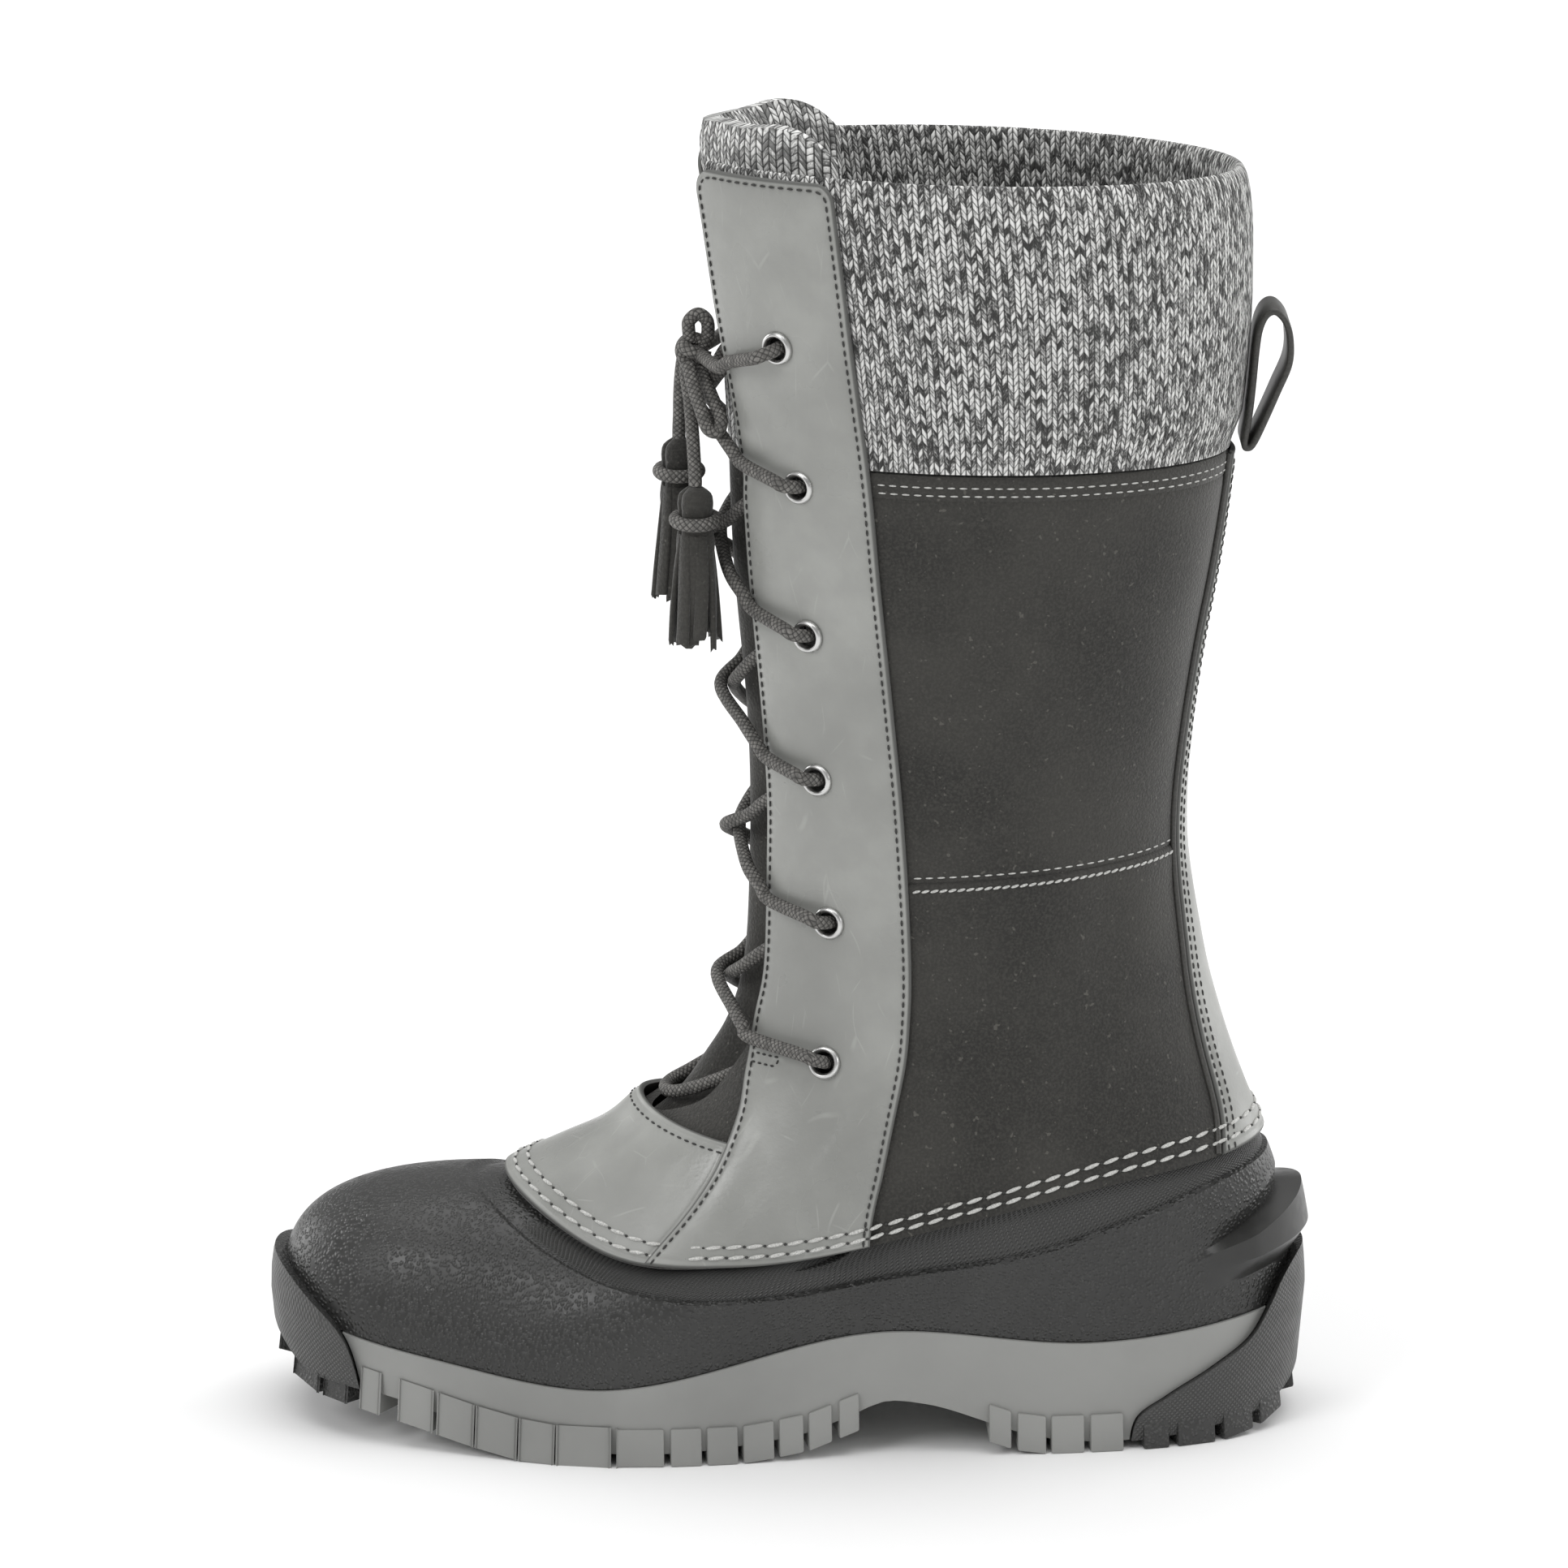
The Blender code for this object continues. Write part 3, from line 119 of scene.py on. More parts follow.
SHAFT_RINGS = (
    ShaftRing(-0.388, 0.430, 0.421, 0.084, 0.130),
    ShaftRing(-0.370, 0.401, 0.426, 0.225, 0.252),
    ShaftRing(-0.373, 0.408, 0.442, 0.378, 0.389),
    ShaftRing(-0.398, 0.449, 0.468, 0.550, 0.550),
    ShaftRing(-0.416, 0.480, 0.489, 0.702, 0.695),
    ShaftRing(-0.459, 0.500, 0.500, 0.855, 0.836),
    ShaftRing(-0.502, 0.498, 0.503, 1.008, 0.992),
)
SQUARENESS = (2.8, 1.7, 1.7, 1.6, 1.5, 1.6)


def hermite(u: Array, start: Array, end: Array, rise: Array, fall: Array) -> Array:
    """Cubic from start to end with the given slopes at its ends."""
    return (
        (1 + 2 * u) * (1 - u) ** 2 * start + u * (1 - u) ** 2 * rise
        + u * u * (3 - 2 * u) * end + u * u * (u - 1) * fall
    )


def smooth(knots: Sequence[float], values: Sequence[float], at: Values) -> Array:
    """Smooth curve through values at knots.

    Args:
        knots: Places of the values, rising.
        values: One value at each knot.
        at: Places to read the curve at.

    Returns:
        The curve's values.
    """
    knots, values, at = np.asarray(knots, float), np.asarray(values, float), np.asarray(at, float)
    slopes = np.gradient(values, knots)
    first = np.clip(np.searchsorted(knots, at, side="right") - 1, 0, len(knots) - 2)
    span = knots[first + 1] - knots[first]
    u = (at - knots[first]) / span
    return hermite(u, values[first], values[first + 1], slopes[first] * span, slopes[first + 1] * span)


def ease(value: Values) -> Array:
    """Rise from 0 to 1 with flat ends."""
    value = np.clip(value, 0.0, 1.0)
    return value * value * (3 - 2 * value)


def through(points: Sequence[Array], at: Array) -> Array:
    """Smooth curve through points, read at places counted in points."""
    points = np.asarray(points)
    return np.stack([smooth(np.arange(len(points), dtype=float), column, at) for column in points.T], -1)


def run_along(line: Array) -> Array:
    """Distance of each point of a line from its start."""
    return np.concatenate([[0], np.cumsum(np.linalg.norm(np.diff(line, axis=0), axis=1))])


def from_front(degrees: Array) -> Array:
    """Angle away from the boot's front, on either side."""
    degrees = np.mod(degrees, 360.0)
    return np.minimum(degrees, 360.0 - degrees)


def at_row(angles: Array, row: float) -> Array:
    """Line at one row, as angles and rows."""
    return np.stack([angles, np.full(len(angles), row)], -1)


def there_and_back(line: Array) -> Array:
    """Closed ring that follows a line and comes back on it."""
    return np.concatenate([line, line[::-1], line[:1]])


def capped(rings: Sequence[Array]) -> Array:
    """Rings with both ends drawn in to their middles."""
    return np.array([0 * rings[0] + rings[0].mean(axis=0), *rings, 0 * rings[-1] + rings[-1].mean(axis=0)])


@dataclass(frozen=True)
class Last:
    """The boot's form, by angle round it and row up it."""

    length: float = 0.301
    ball_width: float = 0.110
    instep_height: float = 0.106
    collar_height: float = 0.368
    shaft_depth: float = 0.1545
    shaft_width: float = 0.095
    setback: float = 0.049

    def rings(self, theta: Array) -> Array:
        """Points of every ring at each angle in radians: rings, angles, xyz."""
        share = (1 - np.cos(theta)) / 2
        points = []
        for ring in FOOT_RINGS:
            wide = ring.half_width * smooth(STATIONS, ring.fullness, share)
            side = self.ball_width * (smooth(STATIONS, ring.swing, share) - wide * np.sin(theta))
            high = self.instep_height * smooth(STATIONS, ring.heights, share)
            points.append(np.stack([self.length * (ring.front + (ring.back - ring.front) * share), side, high], -1))
        rise = self.collar_height - self.instep_height
        for ring in SHAFT_RINGS:
            along = self.setback + self.shaft_depth * (ring.front + (ring.back - ring.front) * share)
            side = -ring.half_width * self.shaft_width * np.sin(theta)
            high = self.instep_height + rise * (ring.front_height + (ring.back_height - ring.front_height) * share)
            points.append(np.stack([along, side, high], -1))
        return np.array(points)

    def surface(self, degrees: Values, row: Values) -> Array:
        """Points on the form at angles in degrees and rows."""
        degrees, row = np.broadcast_arrays(np.asarray(degrees, float), np.asarray(row, float))
        theta, flat = np.radians(degrees.ravel()), row.ravel()
        rings = self.rings(theta)
        share = (1 - np.cos(theta)) / 2
        turn = np.clip(flat, 0, 1) * math.pi / 2
        power = 2 / smooth(STATIONS, SQUARENESS, share)
        inward, upward = 1 - np.cos(turn) ** power, np.sin(turn) ** power
        wall = rings[0] + (rings[1] - rings[0]) * np.stack([inward, inward, upward], -1)
        above, slopes = rings[1:], np.gradient(rings[1:], axis=0)
        place = np.maximum(flat - 1, 0)
        first = np.minimum(place.astype(int), len(above) - 2)
        column = np.arange(len(theta))
        leg = hermite(
            (place - first)[:, None], above[first, column], above[first + 1, column],
            slopes[first, column], slopes[first + 1, column],
        )
        return np.where(flat[:, None] < 1, wall, leg).reshape(degrees.shape + (3,))

    def normal(self, degrees: Values, row: Values) -> Array:
        """Outward unit normals of the form."""
        degrees, row = np.broadcast_arrays(np.asarray(degrees, float), np.asarray(row, float))
        step = 1e-3
        low = np.where(row >= 1, np.maximum(row - step, 1.0), np.maximum(row - step, 0.0))
        high = np.where(row < 1, np.minimum(row + step, 1.0 - 1e-4), row + step)
        up = self.surface(degrees, high) - self.surface(degrees, low)
        along = self.surface(degrees + 0.05, row) - self.surface(degrees - 0.05, row)
        across = np.cross(along, up)
        return across / np.linalg.norm(across, axis=-1, keepdims=True)

    def layer(self, degrees: Values, row: Values, offset: Values) -> Array:
        """Points at a distance outward from the form."""
        offset = np.asarray(offset, float)[..., None]
        return self.surface(degrees, row) + self.normal(degrees, row) * offset

    def angle_at(self, along: float) -> float:
        """Angle on the outer side of the feather line at this place along the boot."""
        front, back = FOOT_RINGS[0].front * self.length, FOOT_RINGS[0].back * self.length
        return math.degrees(math.acos(1 - 2 * min(max((along - front) / (back - front), 0.0), 1.0)))

    def angle_of_width(self, row: Values, half_width: float) -> Array:
        """Angle at the front where the form is this far from the middle plane, at each row."""
        row = np.asarray(row, float)
        degrees = np.linspace(0, 80, 81)
        widths = np.abs(self.surface(degrees[None, :], np.atleast_1d(row).ravel()[:, None])[..., 1])
        return np.array([np.interp(half_width, line, degrees) for line in widths]).reshape(row.shape)


LAST = Last()


@dataclass(frozen=True)
class Layers:
    """How far the pieces' faces lie from the form, what keeps them apart, and sizes that pieces share."""

    gap: float = 0.3 * MM
    galosh_wall: float = 3.0 * MM
    galosh_step: float = 1.0 * MM
    upper_inner: float = 0.3 * MM
    upper_outer: float = 2.1 * MM
    overlay_inner: float = 2.5 * MM
    overlay_outer: float = 3.9 * MM
    cuff_inner: float = 2.5 * MM
    cuff_swell: float = 2.4 * MM
    bumper_outer: float = 4.8 * MM
    lace_radius: float = 1.9 * MM
    throat_half_width: float = 17.0 * MM


LAY = Layers()


def edge_angle(edge: Sequence[Pair], row: Values) -> Array:
    """Angle of a pattern edge at rows."""
    rows, angles = zip(*edge)
    return smooth(rows, angles, np.clip(row, rows[0], rows[-1]))


class Crease(NamedTuple):
    """Soft fold in the leather or suede: where, how long and wide in metres, how deep, and its lean in degrees."""

    row: float
    angle: float
    length: float
    width: float
    depth: float
    lean: float


CREASES = (
    Crease(3.15, 66.0, 0.050, 0.010, -0.9 * MM, 62.0),
    Crease(3.75, 92.0, 0.060, 0.012, -0.8 * MM, 78.0),
    Crease(2.75, 104.0, 0.055, 0.011, 0.7 * MM, 70.0),
    Crease(4.4, 128.0, 0.050, 0.012, -0.7 * MM, 84.0),
    Crease(5.7, 104.0, 0.070, 0.020, -0.8 * MM, 60.0),
    Crease(6.6, 128.0, 0.070, 0.020, 0.6 * MM, 35.0),
    Crease(7.9, 31.0, 0.026, 0.006, -1.0 * MM, 35.0),
    Crease(5.25, 60.0, 0.060, 0.016, 0.5 * MM, 10.0),
    Crease(1.62, 20.0, 0.040, 0.009, -0.6 * MM, 50.0),
)


def relief(degrees: Array, row: Array) -> Array:
    """Depth of the folds and of a slight unevenness at places on both sides of the boot."""
    degrees, row = np.broadcast_arrays(np.asarray(degrees, float), np.asarray(row, float))
    place = LAST.surface(degrees, row)
    away = from_front(degrees)
    lateral = np.mod(degrees, 360.0) < 180.0
    total = 0.25 * MM * np.sin(place[..., 2] * 95 + place[..., 0] * 60) * np.sin(place[..., 0] * 120 + 1.0)
    for crease in CREASES:
        for side in Side:
            centre = LAST.surface(crease.angle * side.value, crease.row)
            step = place - centre
            along_axis = math.cos(math.radians(crease.lean)), math.sin(math.radians(crease.lean))
            run = np.hypot(step[..., 0], step[..., 1]) * np.sign(away - crease.angle)
            along = run * along_axis[0] + step[..., 2] * along_axis[1]
            across = -run * along_axis[1] + step[..., 2] * along_axis[0]
            here = lateral if side is Side.LATERAL else ~lateral
            shape = np.exp(-((along / crease.length * 2) ** 2) - (across / crease.width * 1.6) ** 2)
            total = total + crease.depth * shape * here
    return total * ease((row - 1.15) / 0.5)


def made_mesh(name: str, solid: Solid) -> Mesh:
    """New mesh of a bmesh, which is freed."""
    mesh = bpy.data.meshes.new(name)
    solid.to_mesh(mesh)
    solid.free()
    return mesh


def measured(points: Array) -> Array:
    """Distances over a grid of points in millimetres: along its rows and up its columns."""
    across = np.linalg.norm(np.diff(points, axis=1), axis=-1).mean(axis=0)
    upward = np.linalg.norm(np.diff(points, axis=0), axis=-1).mean(axis=1)
    u, v = np.concatenate([[0], np.cumsum(across)]), np.concatenate([[0], np.cumsum(upward)])
    return np.stack(np.meshgrid(u / MM, v / MM), -1)


def laid(
    name: str, points: Array, uv: Array | None = None, marks: dict[str, Array] | None = None,
    sharp: float = SHARP_ANGLE, second: tuple[int, int] | None = None,
) -> Mesh:
    """Mesh of a grid that is bent to points, welded where they meet.

    Args:
        name: The mesh's name.
        points: Places of the grid's points, rows by columns.
        uv: UV map in millimetres, of the same shape, or None to measure the grid.
        marks: Named values at the points, such as the distance from an edge.
        sharp: Angle in degrees past which an edge is left sharp.
        second: First and last strip of the grid's faces that are on the second material, or None.

    Returns:
        The mesh, with its normals pointing outwards if it is closed.
    """
    rows, columns = points.shape[:2]
    work = bmesh.new()
    bmesh.ops.create_grid(work, x_segments=columns - 1, y_segments=rows - 1, size=1)
    mesh = made_mesh(name, work)
    mesh.vertices.foreach_set("co", points.reshape(-1))
    corner = np.empty(len(mesh.loops), dtype=np.int32)
    mesh.loops.foreach_get("vertex_index", corner)
    layer = mesh.uv_layers.new(name="UVMap")
    flat = (measured(points) if uv is None else uv).reshape(-1, 2)
    layer.data.foreach_set("uv", flat[corner].reshape(-1))
    for word, values in (marks or {}).items():
        mark = mesh.attributes.new(word, "FLOAT", "POINT")
        mark.data.foreach_set("value", np.broadcast_to(values, (rows, columns)).reshape(-1))
    if second:
        strips = np.repeat(np.arange(rows - 1), columns - 1)
        there = (strips >= second[0]) & (strips < second[1])
        mesh.polygons.foreach_set("material_index", there.astype(np.int32))
    return welded(mesh, sharp)


def welded(mesh: Mesh, sharp: float = SHARP_ANGLE) -> Mesh:
    """The mesh with its doubles merged, its normals outward and smooth shading up to an angle."""
    work = bmesh.new()
    work.from_mesh(mesh)
    bmesh.ops.remove_doubles(work, verts=work.verts[:], dist=1e-6)
    bmesh.ops.recalc_face_normals(work, faces=work.faces[:])
    work.to_mesh(mesh)
    work.free()
    mesh.shade_smooth()
    mesh.set_sharp_from_angle(angle=math.radians(sharp))
    return mesh


def shown(
    name: str, mesh: Mesh, finishes: Sequence["Finish"], replaces: Sequence[str] = (),
) -> bpy.types.Object:
    """Put a finished piece in the scene on the boot's one body.

    Args:
        name: The piece's name.
        mesh: Its mesh, in place.
        finishes: Its finishes, of which the mesh's faces may use the second.
        replaces: CAD nodes that it stands for.

    Returns:
        The object.
    """
    made = bpy.data.objects.new(name, mesh)
    for finish in finishes:
        mesh.materials.append(finish.material())
    bpy.context.scene.collection.objects.link(made)
    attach(made, "root")
    if replaces:
        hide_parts(*replaces)
    log.info("%s: %d faces", name, len(mesh.polygons))
    return made


def carved(piece: bpy.types.Object, cutters: Sequence[Mesh], operation: str = "DIFFERENCE") -> None:
    """Cut or trim a piece by meshes, and keep the result as its mesh."""
    tools = []
    for mesh in cutters:
        tool = bpy.data.objects.new("tool", mesh)
        bpy.context.scene.collection.objects.link(tool)
        step = piece.modifiers.new("cut", "BOOLEAN")
        step.operation, step.solver, step.object = operation, "EXACT", tool
        tools.append(tool)
    graph = bpy.context.evaluated_depsgraph_get()
    result = bpy.data.meshes.new_from_object(piece.evaluated_get(graph), depsgraph=graph)
    piece.modifiers.clear()
    piece.data = result
    result.set_sharp_from_angle(angle=math.radians(SHARP_ANGLE))
    for tool in tools:
        bpy.data.objects.remove(tool)


def cord(name: str, lines: Sequence[Array], radius: float, rings: int = 60, sides: int = 14) -> Mesh:
    """Round cords along smooth lines in one mesh, with U round them and V along them in millimetres.

    Args:
        name: The mesh's name.
        lines: Points that each cord follows.
        radius: The cord's radius.
        rings: Sections of each cord.
        sides: Sides of a section.

    Returns:
        The mesh.
    """
    whole = bmesh.new()
    for number, points in enumerate(lines):
        line = through(points, np.linspace(0, len(points) - 1, rings))
        along = np.gradient(line, axis=0)
        side = Vector(along[0]).orthogonal().normalized()
        turns = np.linspace(0, math.tau, sides + 1)
        sections = []
        for place, direction in zip(line, along):
            forward = Vector(direction).normalized()
            side = (side - forward * side.dot(forward)).normalized()
            up = np.array(forward.cross(side))
            sections.append(place + radius * (np.outer(np.cos(turns), side) + np.outer(np.sin(turns), up)))
        ends = [line[0] + 0 * sections[0], line[-1] + 0 * sections[0]]
        grid = np.array([ends[0], *sections, ends[1]])
        run = run_along(line) / MM
        v = np.concatenate([[run[0]], run, [run[-1]]])
        uv = np.stack(np.meshgrid(turns * radius / MM, v), -1)
        part = laid(f"{name}_{number}", grid, uv, sharp=80.0)
        whole.from_mesh(part)
        bpy.data.meshes.remove(part)
    mesh = made_mesh(name, whole)
    mesh.shade_smooth()
    return mesh


def joined(name: str, meshes: Sequence[Mesh]) -> Mesh:
    """One mesh of several, each of which keeps its material numbers."""
    whole = bmesh.new()
    for part in meshes:
        whole.from_mesh(part)
        bpy.data.meshes.remove(part)
    return made_mesh(name, whole)


def numbered(mesh: Mesh, number: int) -> Mesh:
    """The mesh with all its faces on the material of this number."""
    mesh.polygons.foreach_set("material_index", np.full(len(mesh.polygons), number, dtype=np.int32))
    return mesh


def outlined(name: str, outline: Sequence[Pair], half_depth: float) -> Mesh:
    """Outline in x and z as a solid of this half depth to both sides."""
    solid = bmesh.new()
    face = solid.faces.new([solid.verts.new((x, -half_depth, z)) for x, z in outline])
    moved = bmesh.ops.extrude_face_region(solid, geom=[face])["geom"]
    sides = [item for item in moved if isinstance(item, bmesh.types.BMVert)]
    bmesh.ops.translate(solid, verts=sides, vec=(0, 2 * half_depth, 0))
    bmesh.ops.recalc_face_normals(solid, faces=solid.faces[:])
    return made_mesh(name, solid)


def collapsed(ring: Array) -> Array:
    """A ring round the boot drawn in to the line along its middle."""
    return (ring + ring[::-1]) / 2


def around(columns: int) -> Array:
    """Angles all round the boot."""
    return np.linspace(0.0, 360.0, columns + 1)


def between(lines: Sequence[Array], steps: Sequence[int]) -> Array:
    """Lines with evenly spaced ones put between them, this many steps from each to the next."""
    filled = [lines[0]]
    for start, end, count in zip(lines, lines[1:], steps):
        filled += [start + (end - start) * step / count for step in range(1, count + 1)]
    return np.array(filled)


class Graph:
    """Nodes of one Principled material, with short ways to add them."""

    def __init__(self, name: str, colour: Sequence[float], roughness: float, metallic: float = 0.0) -> None:
        """Start a material.

        Args:
            name: The material's name.
            colour: Linear red, green and blue.
            roughness: The shader's roughness.
            metallic: The shader's metallic value.
        """
        self.material = bpy.data.materials.new(name)
        self.material.use_nodes = True
        self.tree = self.material.node_tree
        self.shader = self.tree.nodes["Principled BSDF"]
        self.set("Base Color", (*colour, 1.0))
        self.set("Roughness", roughness)
        self.set("Metallic", metallic)

    def _feed(self, socket: Socket, value: object) -> None:
        """Link a socket to an output, or set it to a value."""
        if isinstance(value, Socket):
            self.tree.links.new(value, socket)
        else:
            socket.default_value = value

    def set(self, socket: str, value: object) -> None:
        """Set one of the shader's sockets, or feed it from an output."""
        self._feed(self.shader.inputs[socket], value)

    def add(self, kind: str, inputs: dict, output: int | str = 0, **settings: object) -> Socket:
        """Add a node.

        Args:
            kind: The node's type without its prefix.
            inputs: Values or outputs for its sockets, by name or number.
            output: The output to hand back.
            **settings: The node's properties.

        Returns:
            The output.
        """
        node = self.tree.nodes.new(f"ShaderNode{kind}")
        for word, value in settings.items():
            setattr(node, word, value)
        for key, value in inputs.items():
            self._feed(node.inputs[key], value)
        return node.outputs[output]

    def place(self) -> Socket:
        """Place on the boot, in metres."""
        return self.add("TexCoord", {}, "Object")

    def chart(self) -> list[Socket]:
        """Place on the piece's UV map, across and upward."""
        return [self.add("SeparateXYZ", {0: self.add("TexCoord", {}, "UV")}, axis) for axis in "XY"]

    def mark(self, name: str) -> Socket:
        """Value of a named attribute."""
        return self.add("Attribute", {}, "Fac", attribute_name=name)

    def sum(self, operation: str, *values: object, clamp: bool = False) -> Socket:
        """Result of a Math node."""
        return self.add("Math", dict(enumerate(values)), operation=operation, use_clamp=clamp)

    def times(self, first: object, second: object) -> Socket:
        """Product of two values."""
        return self.sum("MULTIPLY", first, second)

    def rest(self, value: object) -> Socket:
        """What a value lacks of 1."""
        return self.sum("SUBTRACT", 1.0, value)

    def noise(self, place: Socket, scale: float, detail: float) -> Socket:
        """Noise, mostly within NOISE_RANGE."""
        return self.add("TexNoise", {"Vector": place, "Scale": scale, "Detail": detail}, "Fac")

    def cloud(
        self, place: Socket, scale: float, detail: float, start: float = 0.0, end: float = 1.0,
    ) -> Socket:
        """Noise spread over the range from start to end."""
        return self.span(self.noise(place, scale, detail), *NOISE_RANGE, start, end)

    def span(
        self, value: Socket, low: float, high: float, start: float = 0.0, end: float = 1.0,
    ) -> Socket:
        """Value mapped from one range to another, with eased ends."""
        return self.add("MapRange", {0: value, 1: low, 2: high, 3: start, 4: end}, interpolation_type="SMOOTHSTEP")

    def mixed(self, factor: object, first: object, second: object) -> Socket:
        """Mix of two colours."""
        colours = [value if isinstance(value, Socket) else (*value, 1.0) for value in (first, second)]
        return self.add("Mix", {0: factor, 6: colours[0], 7: colours[1]}, 2, data_type="RGBA")

    def stretched(self, place: Socket, scale: Sequence[float], turn: float) -> Socket:
        """Place turned about the boot's width by an angle in radians, then stretched along its axes."""
        return self.add("Mapping", {"Vector": place, "Scale": scale, "Rotation": (0.0, turn, 0.0)})

    def bump(self, height: object, distance: float) -> None:
        """Give the shader bumps of this height in metres."""
        self.set("Normal", self.add("Bump", {"Height": height, "Distance": distance, "Strength": 1.0}))


@dataclass(frozen=True)
class Finish:
    """A finish with its name, linear colour and roughness."""

    name: str
    colour: Triple
    roughness: float

    @cache
    def material(self) -> bpy.types.Material:
        """The finish's material, which is made once."""
        return self.made().material

    def tone(self, share: float) -> tuple[float, ...]:
        """The colour times a share."""
        return tuple(channel * share for channel in self.colour)

    def made(self) -> Graph:
        """Mix the material."""
        return Graph(self.name, self.colour, self.roughness)


@dataclass(frozen=True)
class Rubber(Finish):
    """Moulded rubber: pebbled, woven where the attribute "weave" is 1, smooth where "smooth" is 1, with painted
    highlights on its raised pebbles and weave.
    """

    pebble: float = 1.1 * MM
    pitch: float = 1.7
    depth: float = 0.3 * MM

    def made(self) -> Graph:
        """Mix the material."""
        graph = super().made()
        place = graph.place()
        cell = graph.add(
            "TexVoronoi", {"Vector": place, "Scale": 1 / self.pebble, "Smoothness": 0.6}, "Distance",
            feature="SMOOTH_F1",
        )
        pebbles = graph.rest(graph.span(cell, 0.1, 0.6))
        across, upward = graph.chart()
        turned = [
            graph.sum("SINE", graph.times(graph.sum(way, across, upward), math.pi / self.pitch))
            for way in ("ADD", "SUBTRACT")
        ]
        weave = graph.sum("POWER", graph.sum("ABSOLUTE", graph.times(*turned)), 1.5)
        mark = graph.mark("weave")
        height = graph.sum(
            "ADD", graph.times(weave, mark), graph.times(pebbles, graph.rest(mark)),
        )
        height = graph.times(height, graph.rest(graph.mark("smooth")))
        colour = graph.mixed(graph.cloud(place, 30.0, 3.0), self.tone(0.88), self.tone(1.12))
        # Painted highlight: the raised pebbles and, more strongly, the weave are lightened in the base colour
        painted_highlight = graph.times(height, graph.sum("ADD", 0.3, graph.times(mark, 0.5)))
        graph.set("Base Color", graph.mixed(painted_highlight, colour, self.tone(2.8)))
        graph.set("Roughness", graph.cloud(place, 220.0, 3.0, self.roughness - 0.05, self.roughness + 0.06))
        graph.bump(height, self.depth)
        return graph


@dataclass(frozen=True)
class SoleRubber(Finish):
    """Smooth moulded sole rubber with a faint haze."""

    def made(self) -> Graph:
        """Mix the material."""
        graph = super().made()
        place = graph.place()
        graph.set("Base Color", graph.mixed(graph.cloud(place, 18.0, 4.0), self.tone(0.9), self.tone(1.1)))
        graph.set("Roughness", graph.cloud(place, 90.0, 3.0, self.roughness - 0.06, self.roughness + 0.06))
        graph.bump(graph.noise(place, 1400.0, 2.0), 0.03 * MM)
        return graph


@dataclass(frozen=True)
class OiledLeather(Finish):
    """Pale waxed leather: cloudy, with hair-thin scratches, and raw dark flesh at its cut edge."""

    def made(self) -> Graph:
        """Mix the material."""
        graph = super().made()
        place = graph.place()
        cloud = graph.span(graph.noise(place, 20.0, 4.0), 0.32, 0.68)
        mottle = graph.cloud(place, 110.0, 4.0)
        colour = graph.mixed(cloud, self.tone(0.84), self.tone(1.12))
        colour = graph.mixed(graph.times(mottle, 0.35), colour, self.tone(0.82))
        scratches = None
        for turn, gap, share in ((0.5, 55.0, 0.003), (-0.7, 42.0, 0.002), (1.3, 70.0, 0.003)):
            bent = graph.add(
                "VectorMath",
                {0: graph.add("TexNoise", {"Vector": place, "Scale": 25.0, "Detail": 1.0}, "Color"), 1: (0.012,) * 3,
                 2: graph.stretched(place, (1.0, 1.0, 0.3), turn)},
                operation="MULTIPLY_ADD",
            )
            cell = graph.add("TexVoronoi", {"Vector": bent, "Scale": gap}, "Distance", feature="DISTANCE_TO_EDGE")
            line = graph.span(cell, share, share * 4, 1.0, 0.0)
            here = graph.span(graph.noise(graph.stretched(place, (1.0, 1.0, 1.0), turn), 75.0, 2.0), 0.55, 0.7)
            line = graph.times(line, here)
            scratches = line if scratches is None else graph.sum("MAXIMUM", scratches, line)
        colour = graph.mixed(graph.times(scratches, 0.3), colour, self.tone(1.5))
        raw = graph.span(graph.mark("edge"), 0.35, 1.05, 1.0, 0.0)
        graph.set("Base Color", graph.mixed(raw, colour, self.tone(0.34)))
        gloss = graph.cloud(place, 38.0, 4.0, self.roughness - 0.13, self.roughness + 0.08)
        graph.set("Roughness", graph.sum("ADD", gloss, graph.times(raw, 0.4), clamp=True))
        grain = graph.sum(
            "ADD", graph.times(graph.noise(place, 900.0, 3.0), 0.6), graph.times(mottle, 0.6),
        )
        graph.bump(grain, 0.1 * MM)
        return graph


@dataclass(frozen=True)
class Suede(Finish):
    """Napped leather: brushed patches, fine grain and pale flecks."""

    grain: float = 0.8 * MM

    def made(self) -> Graph:
        """Mix the material."""
        graph = super().made()
        place = graph.place()
        nap = graph.span(graph.noise(place, 24.0, 5.0), 0.34, 0.66)
        grain = graph.noise(place, 1 / self.grain, 3.0)
        colour = graph.mixed(nap, self.tone(0.62), self.tone(1.3))
        colour = graph.mixed(graph.span(grain, 0.35, 0.75, 0.0, 0.55), colour, self.tone(2.2))
        fleck = graph.span(graph.noise(place, 620.0, 1.0), 0.70, 0.75, 0.0, 0.5)
        graph.set("Base Color", graph.mixed(fleck, colour, self.tone(5.0)))
        graph.set("Sheen Weight", 0.25)
        graph.set("Sheen Roughness", 0.5)
        graph.bump(grain, 0.3 * MM)
        return graph


